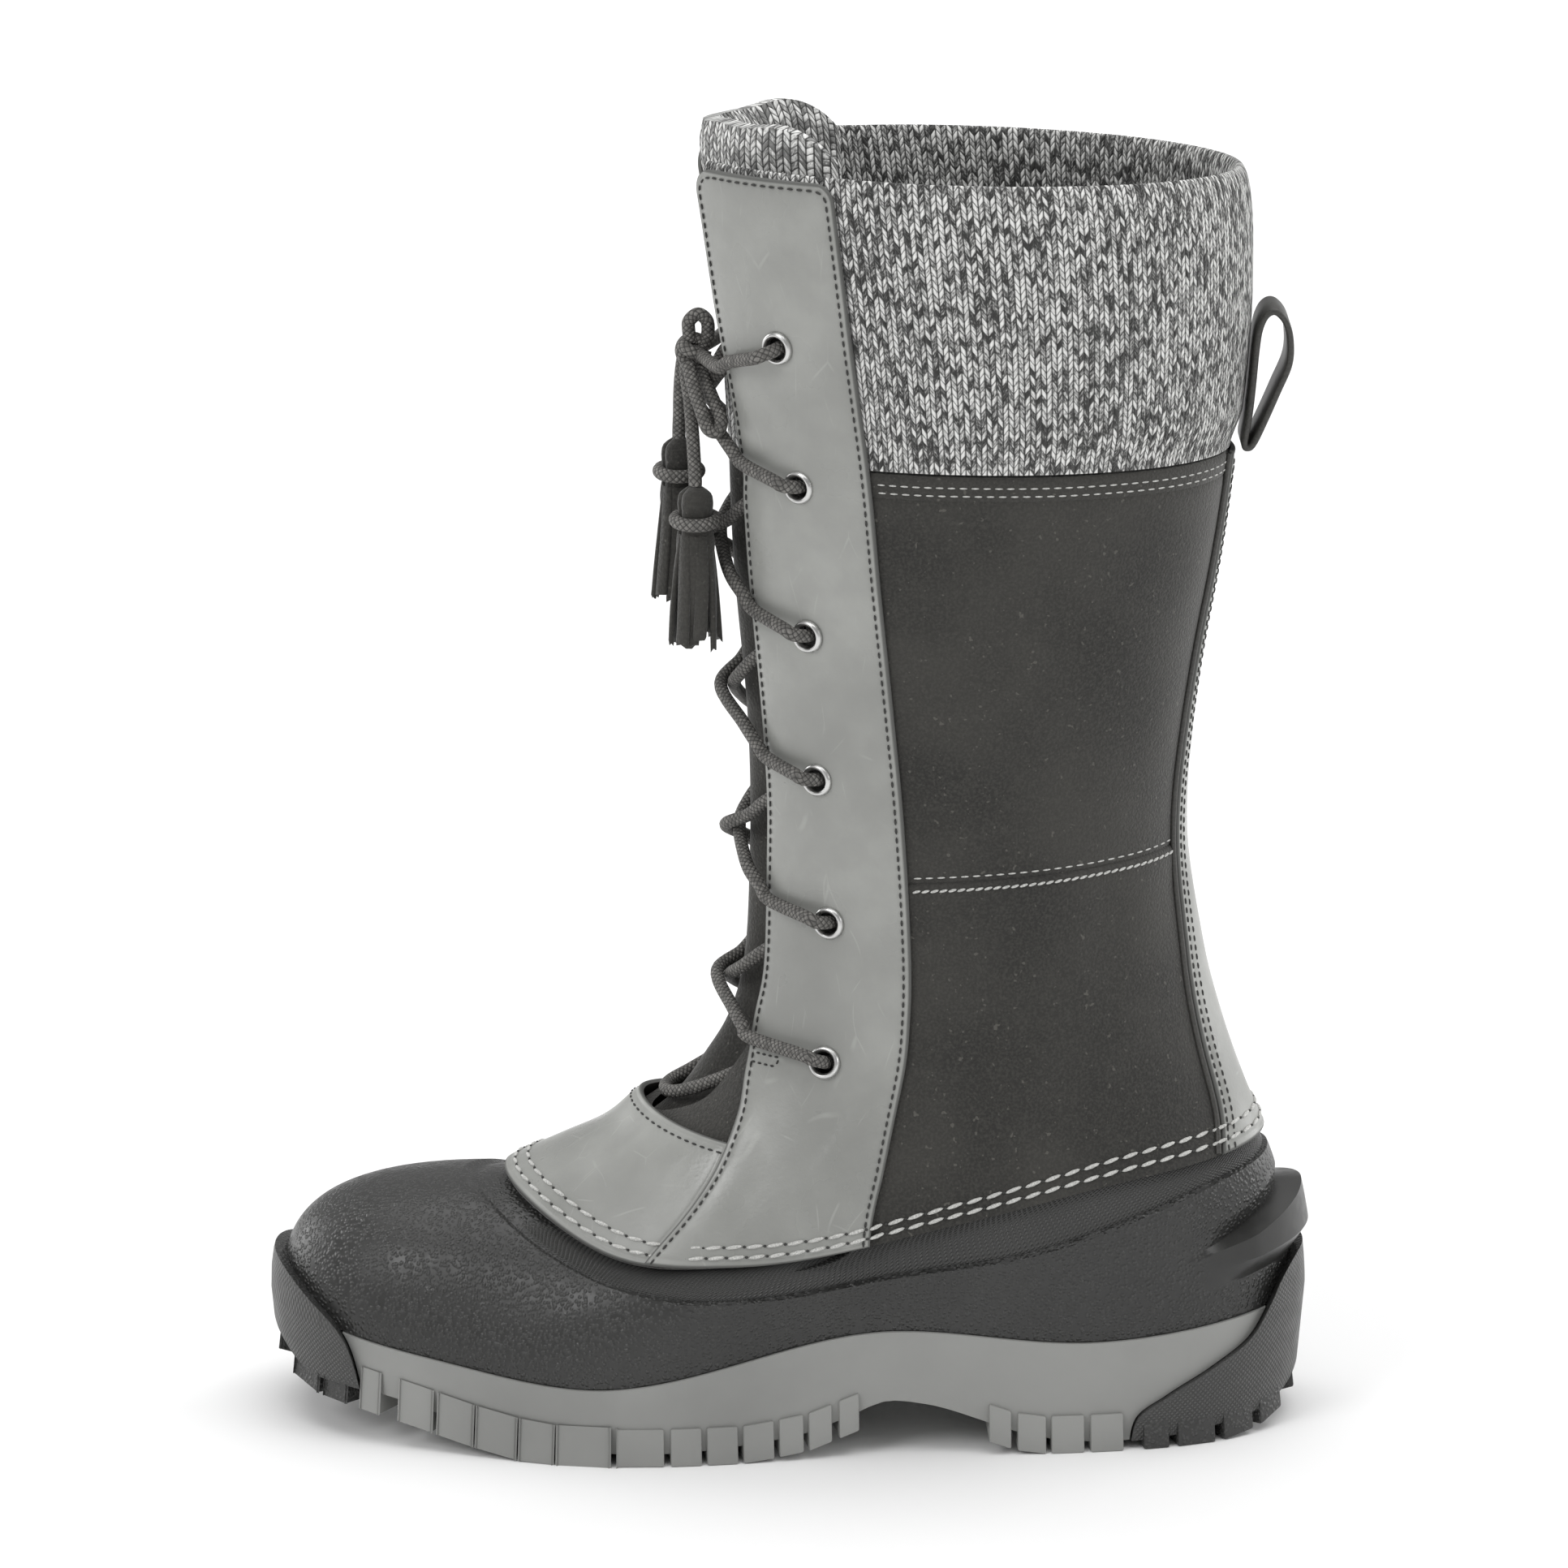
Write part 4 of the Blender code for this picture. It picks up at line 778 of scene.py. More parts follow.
@dataclass(frozen=True)
class MarlKnit(Finish):
    """Stockinette of a light and dark twisted yarn, on a UV map that counts wales and courses."""

    dark: Triple = (0.035, 0.035, 0.033)

    def made(self) -> Graph:
        """Mix the material."""
        graph = super().made()
        across, upward = graph.chart()
        from_middle = graph.sum("ABSOLUTE", graph.sum("SUBTRACT", graph.sum("FRACT", across), 0.5))
        course = graph.sum("ADD", upward, graph.times(from_middle, 1.9))
        step = graph.sum("SUBTRACT", graph.sum("FRACT", course), 0.5)
        leg = graph.sum("DIVIDE", graph.sum("SUBTRACT", from_middle, 0.25), 0.23)
        body = graph.rest(graph.sum("POWER", graph.sum("ABSOLUTE", leg), 2.0))
        length = graph.rest(graph.sum("POWER", graph.sum("ABSOLUTE", graph.times(step, 2.0)), 3.0))
        height = graph.sum("POWER", graph.sum("MAXIMUM", graph.times(body, length), 0.0), 0.6)
        strand = graph.sum("FLOOR", graph.times(across, 2.0))
        cell = graph.add("CombineXYZ", {0: strand, 1: graph.sum("FLOOR", course), 2: 3.0})
        own = graph.add("TexWhiteNoise", {"Vector": cell}, "Value")
        flow = graph.add("CombineXYZ", {0: graph.times(across, 1.1), 1: graph.times(course, 0.55), 2: 0.0})
        drift = graph.cloud(flow, 0.9, 2.0)
        fine = graph.add("CombineXYZ", {0: graph.times(across, 2.4), 1: course, 2: 7.0})
        twist = graph.noise(fine, 2.6, 3.0)
        share = graph.sum(
            "ADD", graph.times(own, 0.5),
            graph.sum("ADD", graph.times(drift, 0.25), graph.times(twist, 0.9)),
        )
        colour = graph.mixed(graph.span(share, 0.56, 1.06), self.dark, self.colour)
        # Painted shade: the gaps between the stitches' legs are near black
        graph.set("Base Color", graph.mixed(graph.span(height, 0.05, 0.65), self.tone(0.035), colour))
        graph.set("Sheen Weight", 0.2)
        graph.bump(graph.sum("ADD", height, graph.times(twist, 0.3)), 0.7 * MM)
        return graph


@dataclass(frozen=True)
class Braid(Finish):
    """Braided round lace, on a UV map in millimetres round and along it."""

    pick: float = 1.5

    def made(self) -> Graph:
        """Mix the material."""
        graph = super().made()
        across, upward = graph.chart()
        ways = []
        for way in ("ADD", "SUBTRACT"):
            run = graph.sum(way, graph.times(across, 1 / 1.99), graph.sum("DIVIDE", upward, self.pick))
            ways.append(graph.sum("SINE", graph.times(run, math.pi)))
        height = graph.sum("ABSOLUTE", graph.times(*ways))
        fleck = graph.span(graph.noise(graph.place(), 700.0, 2.0), 0.35, 0.7)
        colour = graph.mixed(fleck, self.tone(0.75), self.tone(1.5))
        # Painted shade: the grooves between the braid's strands are darkened
        graph.set("Base Color", graph.mixed(graph.span(height, 0.0, 0.5), self.tone(0.25), colour))
        graph.bump(height, 0.3 * MM)
        return graph


@dataclass(frozen=True)
class Steel(Finish):
    """Polished nickel-plated steel."""

    def made(self) -> Graph:
        """Mix the material."""
        graph = Graph(self.name, self.colour, self.roughness, 1.0)
        graph.set("Roughness", graph.cloud(graph.place(), 200.0, 2.0, self.roughness - 0.04, self.roughness + 0.05))
        return graph


@dataclass(frozen=True)
class Cloth(Finish):
    """Felt, thread or plain leather: a noise of this size in colour and relief."""

    grain: float = 0.6 * MM
    depth: float = 0.15 * MM

    def made(self) -> Graph:
        """Mix the material."""
        graph = super().made()
        grain = graph.noise(graph.place(), 1 / self.grain, 3.0)
        graph.set("Base Color", graph.mixed(graph.span(grain, *NOISE_RANGE), self.tone(0.75), self.tone(1.25)))
        graph.bump(grain, self.depth)
        return graph


GALOSH_RUBBER = Rubber("pebbled_rubber", (0.025, 0.025, 0.024), 0.36)
BUMPER_RUBBER = Rubber("bumper_rubber", (0.038, 0.038, 0.037), 0.42, pitch=1.5)
SOLE_RUBBER = SoleRubber("sole_rubber", (0.27, 0.272, 0.262), 0.52)
WAXED_LEATHER = OiledLeather("waxed_leather", (0.30, 0.304, 0.288), 0.36)
QUARTER_SUEDE = Suede("quarter_suede", (0.026, 0.025, 0.022), 0.9)
TASSEL_SUEDE = Suede("tassel_suede", (0.027, 0.026, 0.023), 0.92)
COLLAR_KNIT = MarlKnit("collar_knit", (0.85, 0.85, 0.83), 0.9)
TONGUE_KNIT = MarlKnit("tongue_knit", (0.88, 0.88, 0.86), 0.9, (0.19, 0.19, 0.185))
LACE_BRAID = Braid("lace_braid", (0.150, 0.145, 0.136), 0.7)
EYELET_STEEL = Steel("eyelet_steel", (0.60, 0.60, 0.59), 0.3)
PALE_THREAD = Cloth("pale_thread", (0.52, 0.52, 0.50), 0.7, 0.4 * MM, 0.1 * MM)
DARK_THREAD = Cloth("dark_thread", (0.035, 0.035, 0.033), 0.7, 0.4 * MM, 0.1 * MM)
STRAP_LEATHER = Cloth("loop_leather", (0.045, 0.044, 0.040), 0.45, 0.7 * MM, 0.08 * MM)
LINING_FELT = Cloth("lining_felt", (0.10, 0.10, 0.095), 0.95, 1.2 * MM, 0.4 * MM)


@dataclass
class Galosh:
    """Rubber galosh with its textured band and the kick ledge at the heel."""

    columns: int = 360
    band_angles: tuple[float, ...] = (0.0, 23.0, 44.0, 62.0, 75.0, 90.0, 109.0, 132.0, 150.0, 180.0)
    band_rows: tuple[float, ...] = (0.95, 0.93, 0.81, 0.64, 0.52, 0.41, 0.44, 0.60, 0.71, 0.77)
    kick_start: float = 138.0
    kick_under: float = 0.28
    kick_low: float = 0.42
    kick_end: float = 0.50
    kick_top: float = 0.64
    kick_lip: float = 0.035
    kick_reach: float = 6.2 * MM
    kick_recess: float = 1.5 * MM
    band_groove: float = 1.3 * MM
    weave_start: float = 26.0
    floor: float = 3.0 * MM
    steps: tuple[int, ...] = (16, 8, 8, 4, 5, 9, 2, 2, 12, 6, 1, 4, 14)

    def build(self) -> None:
        """Build and dress the galosh."""
        turn = around(self.columns)
        away = from_front(turn)
        band = smooth(self.band_angles, self.band_rows, away)
        back = ease((away - self.kick_start) / (180.0 - self.kick_start))
        ledge = self.kick_end + (self.kick_top - self.kick_end) * back
        step, flat = LAY.galosh_step, 0 * turn
        reach = step + self.kick_reach * ease(back * 2.6)
        wall = -LAY.galosh_wall
        keys = [
            (flat, flat + step), (self.kick_under * band, flat + step), (self.kick_low * band, reach),
            (ledge * band, reach), ((ledge + self.kick_lip) * band, step - self.kick_recess * ease(back * 3)),
            ((ledge + 4 * self.kick_lip) * band, flat + step),
            (band - 0.02, flat + step), (band, flat + step - self.band_groove), (band + 0.02, flat),
            (flat + TOP_LINE, flat), (flat + RIM_ROW, flat), (flat + RIM_ROW, flat + wall),
            (flat + TOP_LINE, flat + wall), (flat + 0.05, flat + wall),
        ]
        filled = between([np.array(key) for key in keys], self.steps)
        rows, offsets = filled[:, 0], filled[:, 1]
        points = LAST.layer(turn[None, :], rows, offsets)
        under = LAST.layer(turn, FEATHER, flat + step)
        floor = LAST.layer(turn, FEATHER, flat + wall) + (0.0, 0.0, self.floor)
        points = np.concatenate([[collapsed(under)], points, [floor, collapsed(floor)]])
        weave = ease((rows - band + 0.005) / 0.02) * ease((away - self.weave_start) / 8)
        fin = ease(back * 8) * ease((rows - self.kick_under * band * 0.9) / 0.03)
        fin = fin * (1 - ease((rows - (ledge + self.kick_lip * 0.9) * band) / 0.01))
        marks = {
            "weave": np.concatenate([weave[:1], weave, weave[-2:]]), "smooth": np.concatenate([fin[:1], fin, fin[-2:]]),
        }
        mesh = laid("galosh_rubber_cup", points, None, marks, 34.0)
        shown("galosh_rubber_cup", mesh, [GALOSH_RUBBER], ["galosh"])


@dataclass
class Outsole:
    """Grey sole and the two dark bumpers, with their lugs."""

    columns: int = 300
    flange: float = 2.0 * MM
    taper: float = 2.0 * MM
    lug_depth: float = 5.0 * MM
    lug_proud: float = 1.5 * MM
    lug_face: float = 11.0 * MM
    lug_reach: float = 19.0 * MM
    lug_root: float = 1.5 * MM
    lug_bevel: float = 0.6 * MM
    centre_width: float = 26.0 * MM
    end_angle: float = 9.0
    tread: tuple[Pair, ...] = (
        (-0.520, 0.300), (-0.485, 0.170), (-0.463, 0.120), (-0.409, 0.100), (-0.352, 0.071), (-0.316, 0.042),
        (-0.269, 0.016), (-0.233, 0.0), (-0.033, 0.0), (0.023, 0.026), (0.063, 0.070), (0.093, 0.104),
        (0.133, 0.094), (0.186, 0.045), (0.209, 0.020), (0.233, 0.0), (0.415, 0.0), (0.458, 0.022),
        (0.485, 0.066), (0.500, 0.130), (0.530, 0.250),
    )
    toe_edge: tuple[Pair, ...] = (
        (-0.560, 0.450), (-0.492, 0.440), (-0.460, 0.380), (-0.424, 0.290), (-0.407, 0.150), (-0.405, -0.2),
    )
    heel_edge: tuple[Pair, ...] = (
        (0.326, -0.2), (0.327, 0.0), (0.334, 0.085), (0.362, 0.142), (0.409, 0.217), (0.444, 0.283),
        (0.463, 0.368), (0.474, 0.425), (0.486, 0.464), (0.560, 0.464),
    )
    sole_lugs: tuple[Pair, ...] = (
        (-0.400, -0.384), (-0.364, -0.334), (-0.327, -0.295), (-0.290, -0.254), (-0.249, -0.219),
        (-0.214, -0.167), (-0.160, -0.116), (-0.110, -0.081), (-0.076, -0.047), (-0.042, -0.013),
        (-0.008, 0.015), (0.020, 0.042), (0.049, 0.068), (0.192, 0.213), (0.219, 0.246),
        (0.251, 0.282), (0.288, 0.319),
    )
    toe_lugs: tuple[Pair, ...] = ((-0.462, -0.440), (-0.434, -0.414))
    heel_lugs: tuple[Pair, ...] = ((0.338, 0.362), (0.370, 0.405), (0.413, 0.440), (0.447, 0.466))
    centre_lugs: tuple[Pair, ...] = (
        (-0.350, -0.315), (-0.295, -0.258), (-0.238, -0.201), (-0.181, -0.144), (-0.124, -0.087),
        (-0.067, -0.030), (-0.010, 0.020), (0.215, 0.250), (0.268, 0.303),
    )

    def ground(self, along: float) -> float:
        """Height of the tread under this place along the boot."""
        return float(np.interp(along / LAST.length, *zip(*self.tread))) * LAST.instep_height

    def side_view(self, edge: Sequence[Pair], raised: float = 0.0) -> list[Pair]:
        """An edge table as a smooth line in x and z, in metres, this much higher."""
        x, z = (np.array(column) for column in zip(*edge))
        knots = np.concatenate([[0], np.cumsum(np.hypot(np.diff(x), np.diff(z) * 0.35))])
        at = np.unique(np.concatenate([knots, np.linspace(0, knots[-1], 90)]))
        lines = smooth(knots, x, at) * LAST.length, smooth(knots, z, at) * LAST.instep_height + raised
        return list(zip(*lines))

    def foot(self, name: str, offset: float, top_row: float, taper: float) -> Mesh:
        """Solid foot outside the form, from a row down to below the ground."""
        turn = around(self.columns)
        rows = np.linspace(top_row, FEATHER, 16 if top_row else 1)
        wall = LAST.layer(turn[None, :], rows[:, None] + 0 * turn, np.full((len(rows), len(turn)), offset))
        below = LAST.layer(turn, FEATHER, np.full(len(turn), offset - taper))
        below[:, 2] = -2 * self.lug_depth
        down = between([wall[-1], below], (24,))[1:]
        rings = np.concatenate([wall, down])
        if not top_row:
            rings[0] -= (0.0, 0.0, LAY.gap)
        rings = np.concatenate([[collapsed(rings[0])], rings, [collapsed(below)]])
        weave = np.ones(rings.shape[:2])
        return laid(name, rings, None, {"weave": weave, "smooth": 0 * weave}, 40.0)

    def lug(self, solid: Solid, plan: Array, floor: Sequence[float], top: Sequence[float]) -> None:
        """Add a bevelled lug.

        Args:
            solid: Mesh that it goes into.
            plan: Four corners below and four above, in x and y.
            floor: Heights of the lower corners.
            top: Heights of the upper corners.
        """
        verts = bmesh.ops.create_cube(solid, size=1)["verts"]
        below = sorted((v for v in verts if v.co.z < 0), key=lambda v: math.atan2(v.co.y, v.co.x))
        above = sorted((v for v in verts if v.co.z > 0), key=lambda v: math.atan2(v.co.y, v.co.x))
        for vert, (x, y), z in zip(below + above, plan, [*floor, *top]):
            vert.co = Vector((x, y, z))
        edges = list({edge for vert in verts for edge in vert.link_edges})
        bmesh.ops.bevel(
            solid, geom=edges, offset=self.lug_bevel, segments=2, profile=0.5, affect="EDGES", material=-1,
            clamp_overlap=True,
        )

    def lugs(
        self, name: str, spans: Sequence[Pair], middle: Sequence[Pair] = (),
        end: float | None = None,
    ) -> Mesh:
        """Lugs on both edges, down the middle, and at the boot's end.

        Args:
            name: The mesh's name.
            spans: First and last place of the edge lugs along the boot, in its length.
            middle: The same for the lugs down the middle.
            end: Angle of the lug at the end, or None.

        Returns:
            The lugs' mesh.
        """
        solid = bmesh.new()
        pairs = [
            np.array([LAST.angle_at(first * LAST.length), LAST.angle_at(last * LAST.length)]) * side.value
            for first, last in spans for side in Side
        ]
        if end is not None:
            pairs.append(np.array([end - self.end_angle, end + self.end_angle]))
        for pair in pairs:
            outer, face, inner = (
                LAST.layer(pair, FEATHER, np.full(2, self.flange + reach))
                for reach in (self.lug_proud, self.lug_proud * 0.1, -self.lug_reach)
            )
            low = [self.ground(point[0]) for point in outer]
            plan = [inner[0], outer[0], outer[1], inner[1], inner[0], face[0], face[1], inner[1]]
            inside = [self.ground(point[0]) for point in inner]
            top = [
                inside[0] + self.lug_depth + self.lug_root, low[0] + self.lug_face,
                low[1] + self.lug_face, inside[1] + self.lug_depth + self.lug_root,
            ]
            self.lug(solid, [point[:2] for point in plan], [inside[0], low[0], low[1], inside[1]], top)
        for first, last in middle:
            start, stop = first * LAST.length, last * LAST.length
            half = self.centre_width / 2
            swing = float(LAST.surface(np.array([1.0, -1.0]) * LAST.angle_at(start), FEATHER)[:, 1].mean())
            plan = [(start, swing - half), (stop, swing - half), (stop, swing + half), (start, swing + half)]
            floor = [self.ground(x) for x, _ in plan]
            self.lug(solid, [*plan, *plan], floor, [z + self.lug_depth + self.lug_root for z in floor])
        for vert in solid.verts:
            vert.co.z = max(vert.co.z, 0.0)
        bmesh.ops.recalc_face_normals(solid, faces=solid.faces[:])
        mesh = made_mesh(name, solid)
        mesh.shade_smooth()
        mesh.set_sharp_from_angle(angle=math.radians(38.0))
        return mesh

    def build(self) -> None:
        """Build and dress the sole and the bumpers."""
        depth = LAST.ball_width
        low = -6 * self.lug_depth
        tread = self.side_view(self.tread, self.lug_depth)
        ground = [(tread[0][0], low), *tread, (tread[-1][0], low)]
        toe, heel = self.side_view(self.toe_edge), self.side_view(self.heel_edge)
        toe = [*toe, (toe[0][0], toe[-1][1])]
        heel = [*heel, (heel[-1][0], heel[0][1])]
        margin = 0.5 * MM
        sole = shown(
            "sole_unit", self.foot("sole_unit", self.flange, FEATHER, self.taper), [SOLE_RUBBER],
            ["sole"],
        )
        carved(sole, [
            outlined("under_sole", ground, depth), outlined("toe_room", [(x + margin, z) for x, z in toe], depth),
            outlined("heel_room", [(x - margin, z) for x, z in heel], depth),
        ])
        blocks = self.lugs("sole_blocks", self.sole_lugs, self.centre_lugs)
        shown("sole_blocks", blocks, [SOLE_RUBBER], ["sole"])
        outer = LAY.bumper_outer
        for name, edge, spans, end in (("toe", toe, self.toe_lugs, 0.0), ("heel", heel, self.heel_lugs, 180.0)):
            mesh = self.foot(f"{name}_guard", outer, 0.85, 2 * self.taper)
            guard = shown(f"{name}_guard", mesh, [BUMPER_RUBBER], [f"{name}_bumper"])
            carved(guard, [outlined(f"{name}_side", edge, depth)], "INTERSECT")
            carved(guard, [outlined(f"under_{name}", ground, depth)])
            blocks = self.lugs(f"{name}_blocks", spans, (), end)
            shown(f"{name}_blocks", blocks, [BUMPER_RUBBER], [f"{name}_bumper"])


@dataclass
class Panel:
    """Leather piece laid on the form between two edges, with rounded cut edges.

    Its corners are the radii of its upper two, and its lift is how far it is raised from its layer.
    """

    name: str
    low: float
    high: float
    first: Pattern
    last: Pattern
    corners: Pair = (0.0, 0.0)
    lift: Lift = lambda rows, angles: 0 * rows * angles
    inner_columns: int = 26
    pitch: float = 1.8 * MM
    round_edge: float = 0.75 * MM
    near: tuple[float, ...] = (0.0, 0.06, 0.2, 0.45, 0.75, 1.2, 1.6, 2.0, 2.4, 3.2, 4.5)

    def heights(self) -> tuple[Array, Array]:
        """Rows of the sections, and the distance of each one up the panel."""
        rows = np.linspace(self.low, self.high, 400)
        middle = (self.first(rows) + self.last(rows)) / 2
        line = LAST.surface(middle, rows)
        run = run_along(line)
        near = np.array(self.near) * MM
        count = max(int(run[-1] / self.pitch), 8)
        inner = np.linspace(near[-1], run[-1] - near[-1], count)[1:-1]
        corner = max(self.corners)
        extra = run[-1] - np.linspace(near[-1], corner, 6)[1:] if corner > near[-1] else []
        at = np.unique(np.concatenate([near, inner, extra, run[-1] - near]))
        return np.interp(at, run, rows), at

    @staticmethod
    def arc(radius: float, from_top: Array) -> Array:
        """How far a rounded corner draws the side in, at a distance from the top."""
        left = np.clip(radius - from_top, 0, radius)
        return radius - np.sqrt(np.maximum(radius**2 - left**2, 0))

    def sides(self, rows: Array, from_top: Array, inset: float) -> tuple[Array, Array]:
        """Angles of both sides, this far inside the edges."""
        found = []
        for edge, radius, way in ((self.first, self.corners[0], 1), (self.last, self.corners[1], -1)):
            angle = edge(rows)
            step = LAST.surface(angle + 0.5, rows) - LAST.surface(angle - 0.5, rows)
            scale = np.linalg.norm(step, axis=-1)
            drawn = self.arc(max(radius - inset, 0.0), from_top - inset) + inset
            found.append((angle + way * drawn / scale, scale))
        return found[0], found[1]

    def mesh(self) -> Mesh:
        """The panel's mesh, with the attribute "edge" as its distance from the cut edge in millimetres."""
        rows, at = self.heights()
        from_top = at[-1] - at
        (start, start_scale), (end, end_scale) = self.sides(rows, from_top, 0.0)
        near = np.array(self.near) * MM
        left = start[:, None] + near / start_scale[:, None]
        right = (end[:, None] - near / end_scale[:, None])[:, ::-1]
        share = np.linspace(0, 1, self.inner_columns + 2)[1:-1]
        middle = left[:, -1:] + (right[:, :1] - left[:, -1:]) * share
        angles = np.concatenate([left, middle, right], axis=1)
        sideways = np.concatenate([near, np.full(len(share), 1.0), near[::-1]])
        distance = np.minimum(np.minimum(sideways, from_top[:, None]), at[:, None])
        radius = self.round_edge
        fall = radius - np.sqrt(radius**2 - np.clip(radius - distance, 0, radius) ** 2)
        groove = 0.22 * MM * np.exp(-(((distance / MM - 2.0) / 0.5) ** 2))
        grid = np.broadcast_to(rows[:, None], angles.shape)
        bend = self.lift(grid, angles) + relief(angles, grid)
        high = LAST.layer(angles, grid, LAY.overlay_outer - fall - groove + bend)
        low = LAST.layer(angles, grid, LAY.overlay_inner + bend)
        points = np.concatenate([low, high[:, ::-1], low[:, :1]], axis=1)
        edge = np.concatenate([0 * distance, distance[:, ::-1], 0 * distance[:, :1]], axis=1) / MM
        flat = [there_and_back(low[end]) for end in (0, -1)]
        points = np.concatenate([flat[:1], points, flat[1:]])
        edge = np.concatenate([edge[:1], edge, edge[-1:]])
        return laid(self.name, points, None, {"edge": np.minimum(edge, 20.0)}, 60.0)

    def seam(self, inset: float, first: bool = True, top: bool = True, last: bool = True) -> list[Array]:
        """Lines of stitching this far inside the edges, each as angles and rows.

        Args:
            inset: Distance from the edges.
            first: Whether the first side is stitched.
            top: Whether the top is stitched.
            last: Whether the last side is stitched.

        Returns:
            One line that goes up, across and down.
        """
        rows, at = self.heights()
        from_top = at[-1] - at
        keep = from_top >= inset
        (start, _), (end, _) = self.sides(rows[keep], from_top[keep], inset)
        parts = []
        if first:
            parts.append(np.stack([start, rows[keep]], -1))
        if top:
            row = float(np.interp(at[-1] - inset, at, rows))
            parts.append(at_row(np.linspace(start[-1], end[-1], 30), row))
        if last:
            parts.append(np.stack([end, rows[keep]], -1)[::-1])
        return [np.concatenate(parts)]


@dataclass(frozen=True)
class Stitch:
    """A run of stitches: their pitch, length and thickness, and how far each is turned from its line."""

    pitch: float
    length: float
    radius: float
    turn: float = 0.0
    phase: float = 0.5


FINE = Stitch(2.7 * MM, 1.9 * MM, 0.34 * MM)
HEAVY = Stitch(5.7 * MM, 5.1 * MM, 0.6 * MM, 6.0)
# Dark marks at the needle holes between the heavy stitches: painted shade in the holes
HOLE_SHADE = Stitch(5.7 * MM, 1.0 * MM, 0.42 * MM, 0.0, 0.0)
ROPED = Stitch(2.4 * MM, 2.5 * MM, 0.42 * MM, 14.0)
THIN = Stitch(3.2 * MM, 2.3 * MM, 0.26 * MM)
TACK = Stitch(1.9 * MM, 1.4 * MM, 0.34 * MM)


@dataclass
class Stitching:
    """Stitches of one thread, gathered until they are built as one piece."""

    name: str
    thread: Finish
    slot: str
    batch: int = 40
    parts: list[Mesh] = field(default_factory=list)
    count: int = 0

    def run(self, line: Array, offset: float | Lift, kind: Stitch) -> None:
        """Sew along a line.

        Args:
            line: Angles and rows.
            offset: Distance of the surface from the form, or a function of angles and rows.
            kind: Size of the stitches.
        """
        angles, rows = line[:, 0], line[:, 1]
        run = run_along(LAST.surface(angles, rows))
        count = int(run[-1] / kind.pitch)
        if count < 1:
            return
        at = (np.arange(count) + kind.phase) * run[-1] / count
        ends = []
        for shift in (-0.25, 0.25):
            places = at + shift * kind.length
            angle, row = np.interp(places, run, angles), np.interp(places, run, rows)
            level = offset(angle, row) if callable(offset) else np.full(len(angle), offset)
            ends.append(LAST.layer(angle, row, level + relief(angle, row) + kind.radius * 0.25))
            normal = LAST.normal(angle, row)
        solid = bmesh.new()
        for number, (first, second, out) in enumerate(zip(*ends, normal)):
            if number % self.batch == self.batch - 1:
                self.keep(solid)
                solid = bmesh.new()
            along = Vector(second - first).normalized()
            up = Vector(out)
            along = (Matrix.Rotation(math.radians(kind.turn), 3, up) @ along).normalized()
            side = along.cross(up).normalized()
            up = side.cross(along)
            frame_of = Matrix([along * kind.length / 2, side * kind.radius, up * kind.radius]).transposed().to_4x4()
            place = Matrix.Translation(Vector((first + second) / 2)) @ frame_of @ Matrix.Rotation(math.pi / 2, 4, "Y")
            bmesh.ops.create_uvsphere(solid, u_segments=6, v_segments=4, radius=1.0, matrix=place)
        self.keep(solid)
        self.count += count

    def keep(self, solid: Solid) -> None:
        """Keep a batch of stitches as a mesh."""
        bmesh.ops.recalc_face_normals(solid, faces=solid.faces[:])
        self.parts.append(made_mesh(self.name, solid))

    def build(self) -> None:
        """Build all the stitches of this thread."""
        mesh = joined(self.name, self.parts)
        mesh.shade_smooth()
        shown(self.name, mesh, [self.thread])
        log.info("%s: %d stitches", self.name, self.count)


